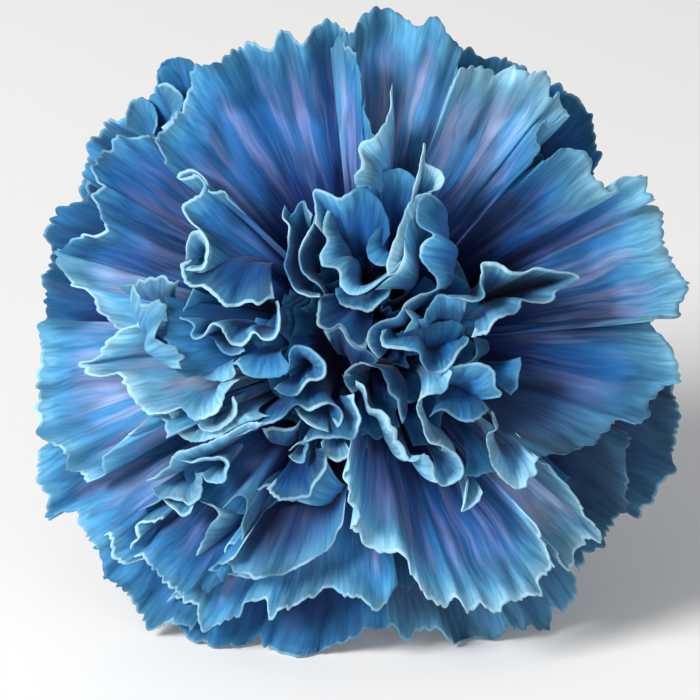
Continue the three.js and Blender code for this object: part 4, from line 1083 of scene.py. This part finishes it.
def green_material(name, dark, light, wax, tip, fibres, rough):
    """A green skin: dark between its fibres and light on them, waxy in patches, and paler at its tips."""
    material = bpy.data.materials.new(name)
    material.use_nodes = True
    n = Nodes(material.node_tree)
    shader = material.node_tree.nodes["Principled BSDF"].inputs
    taken = {"Round": n.attribute("round_mm"), "Along": n.attribute("along_mm"), "Fibres a mm": fibres}
    skin = n.put("ShaderNodeGroup", taken, node_tree=WAXY_SKIN).outputs
    body = n.blend(skin["Fibres"], (*dark, 1), (*light, 1))
    body = n.blend(n.times(skin["Wax"], WAX_SHARE), body, (*wax, 1))
    body = n.blend(n.attribute("pale"), body, (*tip, 1))
    n.join(body, shader["Base Color"])
    n.join(n.between(skin["Wax"], 0, 1, *rough), shader["Roughness"])
    bump = n.put("ShaderNodeBump", {"Strength": 0.35, "Distance": 0.15 * MM, "Height": skin["Fibres"]})
    n.join(bump.outputs[0], shader["Normal"])
    for socket, value in GREEN_FINISH.items():
        shader[socket].default_value = value
    return material


def calyx_radius(w):
    t = np.clip(1 + w / CALYX_LENGTH, 0, 1)
    swell = np.sin(math.pi / 2 * np.minimum(1, CALYX_FULL * t))
    return CALYX_RADIUS * (CALYX_FOOT + (1 - CALYX_FOOT) * swell)


def toothed_edge(angle, teeth, low, high, sharp):
    phase = angle * teeth / (2 * math.pi)
    return low + (high - low) * np.abs(2 * (phase - np.floor(phase)) - 1) ** sharp


def toothed_tube(name, radius, wall, bottom, top, ribs, rows, material):
    """A tube with a wall and a toothed top edge, thinner towards the tips of its teeth."""
    angle = np.linspace(0, 2 * math.pi, TUBE_COLUMNS, endpoint=False)
    w = bottom + (top(angle) - bottom) * np.linspace(0, 1, rows)[:, None]
    to_edge = top(angle) - w
    thin = wall * (TIP_THIN + (1 - TIP_THIN) * smooth(0, 5, to_edge))
    outer = radius(w) + RIB_HEIGHT * np.cos(ribs * angle) * smooth(0, 3, to_edge)
    around = np.concatenate([outer, (outer - thin)[::-1]])
    along = np.concatenate([w, w[::-1]])
    grid = np.stack([around * np.cos(angle), around * np.sin(angle), along], axis=-1)
    pale = 1 - smooth(0.1, 0.8, to_edge)
    layers = {
        "round_mm": (CALYX_RADIUS * angle + 0 * along).ravel(),
        "along_mm": along.ravel(),
        "pale": np.concatenate([pale, pale[::-1]]).ravel(),
    }
    faces = ring_faces(2 * rows, TUBE_COLUMNS, closed=True)
    return add_mesh(name, grid.reshape(-1, 3), faces, layers, material)


def calyx_top(angle):
    return toothed_edge(angle, CALYX_TEETH, TOOTH_FOOT, TOOTH_TIP, TOOTH_SHARP)


calyx_skin = green_material("calyx_skin", **CALYX_COLOURS, fibres=2.2, rough=(0.42, 0.62))
calyx = toothed_tube("green_calyx", calyx_radius, CALYX_WALL, -CALYX_LENGTH, calyx_top,
                     CALYX_RIBS, CALYX_ROWS, calyx_skin)
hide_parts("calyx")
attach(calyx, "root")

# Epicalyx
# Four short pointed green scales that grow round the foot of the calyx and clasp it, paler and drier at
# their edges.
SCALE_WALL = 0.8
SCALE_GAP = 0.3
SCALE_COUNT = 4
SCALE_FOOT = -27.6
SCALE_NOTCH = -25
SCALE_TIP = -18
SCALE_SHARP = 1.2
SCALE_TURN = 0.3  # how far the scales are turned from the calyx teeth, in radians
SCALE_RIBS = 24
SCALE_ROWS = 24
SCALE_COLOURS = dict(dark=(0.16, 0.26, 0.09), light=(0.30, 0.42, 0.18), wax=(0.48, 0.55, 0.38),
                     tip=(0.60, 0.55, 0.36))


def scale_radius(w):
    return calyx_radius(w) + SCALE_GAP + SCALE_WALL


def scale_top(angle):
    return toothed_edge(angle + SCALE_TURN, SCALE_COUNT, SCALE_NOTCH, SCALE_TIP, SCALE_SHARP)


scale_skin = green_material("scale_skin", **SCALE_COLOURS, fibres=2.6, rough=(0.45, 0.65))
epicalyx = toothed_tube("calyx_scales", scale_radius, SCALE_WALL, SCALE_FOOT, scale_top,
                        SCALE_RIBS, SCALE_ROWS, scale_skin)
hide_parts("epicalyx")
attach(epicalyx, "root")

# Pistil
# The pale green seed vessel at the foot of the claws, fleshy and smooth, drawn up into the stub of its
# styles. It stands on the stem's top inside the calyx.
PISTIL_FLOOR = -25.5
PISTIL_PROFILE = [(1.5, 0), (2.1, 1.2), (2.2, 2.4), (1.5, 3.6), (0.6, 4.3), (0.35, 4.4)]
PISTIL_ROWS = 22
PISTIL_COLUMNS = 48
PISTIL_LOBES = 6
LOBE_DEPTH = 0.06
PISTIL_ROUND = 12
PISTIL_COLOURS = dict(dark=(0.36, 0.46, 0.18), light=(0.50, 0.58, 0.28), wax=(0.60, 0.65, 0.42),
                      tip=(0.65, 0.68, 0.45))
pistil_skin = green_material("pistil_skin", **PISTIL_COLOURS, fibres=1.5, rough=(0.35, 0.5))
pistil_radii, pistil_heights = smooth_profile(PISTIL_PROFILE, PISTIL_ROWS)
pistil_grid = ring(pistil_radii, PISTIL_FLOOR + pistil_heights, PISTIL_COLUMNS, PISTIL_LOBES, LOBE_DEPTH)
pistil_layers = {
    "round_mm": np.tile(np.linspace(0, PISTIL_ROUND, PISTIL_COLUMNS), PISTIL_ROWS),
    "along_mm": pistil_grid[..., 2].ravel(),
    "pale": smooth(3, 4.4, pistil_grid[..., 2] - PISTIL_FLOOR).ravel(),
}
pistil = turned_piece("seed_vessel", pistil_grid, pistil_layers, pistil_skin)
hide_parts("pistil")
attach(pistil, "root")

# Stem
# A round waxy green stem with one swollen joint, widened at its top into the seat of the calyx, and cut
# straight across at its foot, where its pale pith shows and its lower edge lies pressed on the table.
JOINT_AT = -61
JOINT_RADIUS = 2.9
SEAT = -CALYX_LENGTH
STEM_PROFILE = [
    (STEM_RADIUS - 0.12, STEM_BOTTOM), (STEM_RADIUS, STEM_BOTTOM + 0.15), (STEM_RADIUS, STEM_BOTTOM + 4),
    (STEM_RADIUS, JOINT_AT - 4), (2.6, JOINT_AT - 1.5), (JOINT_RADIUS, JOINT_AT), (2.5, JOINT_AT + 1.5),
    (STEM_RADIUS, JOINT_AT + 4), (STEM_RADIUS, JOINT_AT + 16), (STEM_RADIUS, SEAT - 5),
    (2.7, SEAT - 1.5), (2.95, SEAT + 0.3), (2.9, SEAT + 1.6), (2.2, SEAT + 2.2)]
CUT_RINGS = [0.4, 1.0, 1.5]  # radii of the rings across the cut end
STEM_ROWS = 220
STEM_COLUMNS = 64
STEM_RIDGES = 5
RIDGE_HEIGHT = 0.03
STEM_ROUND = 12
STEM_COLOURS = dict(dark=(0.13, 0.24, 0.11), light=(0.22, 0.36, 0.18), wax=(0.42, 0.54, 0.44),
                    tip=(0.42, 0.50, 0.30))
stem_skin = green_material("stem_skin", **STEM_COLOURS, fibres=1.6, rough=(0.4, 0.6))
stem_grid = np.concatenate([
    ring(CUT_RINGS, len(CUT_RINGS) * [STEM_BOTTOM], STEM_COLUMNS),
    ring(*smooth_profile(STEM_PROFILE, STEM_ROWS), STEM_COLUMNS, STEM_RIDGES, RIDGE_HEIGHT),
])
pith = smooth(1.75, 1.2, np.linalg.norm(stem_grid[..., :2], axis=-1))
pith = pith * (stem_grid[..., 2] < STEM_BOTTOM + 0.1)
joint_pale = 0.5 * smooth(2.2, 0.6, np.abs(stem_grid[..., 2] - JOINT_AT))
sunk = np.maximum(0, -(stem_grid @ UP + MOUTH[2]))
stem_grid = stem_grid + sunk[..., None] * UP
stem_layers = {
    "round_mm": np.tile(np.linspace(0, STEM_ROUND, STEM_COLUMNS), len(stem_grid)),
    "along_mm": stem_grid[..., 2].ravel(),
    "pale": np.maximum(pith, joint_pale).ravel(),
}
stem = turned_piece("cut_stem", stem_grid, stem_layers, stem_skin)
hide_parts("stem")
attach(stem, "root")

# Leaves
# A pair of narrow, channelled, blue-green waxy leaves that grow from the joint, clasp it, and arch out
# beside the stem.
LEAF_LENGTH = 33
LEAF_WIDTH = 3.2
LEAF_THICK = 0.8
LEAF_GAP = 0.3
LEAF_KNEE = (2, 0.6)  # how far out the leaf bends, and at what share of its length
LEAF_SPREAD = 14  # how far the leaf's tip stands out from the joint
LEAF_REACH = 0.86  # how much of its length the leaf reaches along the stem
LEAF_CHANNEL = 0.55  # depth of the channel along its middle
LEAF_ROWS = 90
LEAF_COLUMNS = 21
LEAF_COLOURS = dict(dark=(0.13, 0.25, 0.14), light=(0.22, 0.37, 0.24), wax=(0.44, 0.56, 0.50),
                    tip=(0.45, 0.50, 0.32))
leaf_skin = green_material("leaf_skin", **LEAF_COLOURS, fibres=2.4, rough=(0.42, 0.6))


def leaf(name, node, side, lift):
    """One leaf, to the right where side is 1 and to the left where it is -1, with its tip lifted."""
    t = np.linspace(0, 1, LEAF_ROWS)[:, None]
    u = np.linspace(-1, 1, LEAF_COLUMNS)
    knee_out, knee_share = LEAF_KNEE
    foot = np.array([side * (JOINT_RADIUS + LEAF_GAP + LEAF_THICK / 2), 0, JOINT_AT - 0.5])
    knee = np.array([side * (JOINT_RADIUS + knee_out), lift * 0.3, JOINT_AT + LEAF_LENGTH * knee_share])
    tip = np.array([side * (JOINT_RADIUS + LEAF_SPREAD), lift, JOINT_AT + LEAF_LENGTH * LEAF_REACH])
    line = (1 - t) ** 2 * foot + 2 * t * (1 - t) * knee + t**2 * tip
    half = 0.5 * LEAF_WIDTH * (0.25 + 0.75 * np.minimum(1, 6 * t + 0.4)) * (1.02 - t**3)
    grid = np.repeat(line[:, None, :], LEAF_COLUMNS, axis=1)
    grid[..., 1] += u * half
    grid[..., 0] -= side * LEAF_CHANNEL * (1 - 0.6 * t) * u**2
    thick = LEAF_THICK * (1 - 0.55 * np.abs(u) ** 4) * (1 - 0.5 * t**4)
    pale = np.maximum(smooth(0.86, 1, np.abs(u)) * 0.5, smooth(0.93, 1, t))
    layers = {"round_mm": u * half, "along_mm": t * LEAF_LENGTH + 0 * u, "pale": pale}
    layers = {key: np.tile(value.ravel(), 2) for key, value in layers.items()}
    points = two_skins(grid, 0.5 * thick)
    piece = add_mesh(name, points, grid_faces(LEAF_ROWS, LEAF_COLUMNS), layers, leaf_skin)
    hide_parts(node)
    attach(piece, "root")


leaf("right_leaf", "leaf_1", side=1, lift=5)
leaf("left_leaf", "leaf_2", side=-1, lift=3)
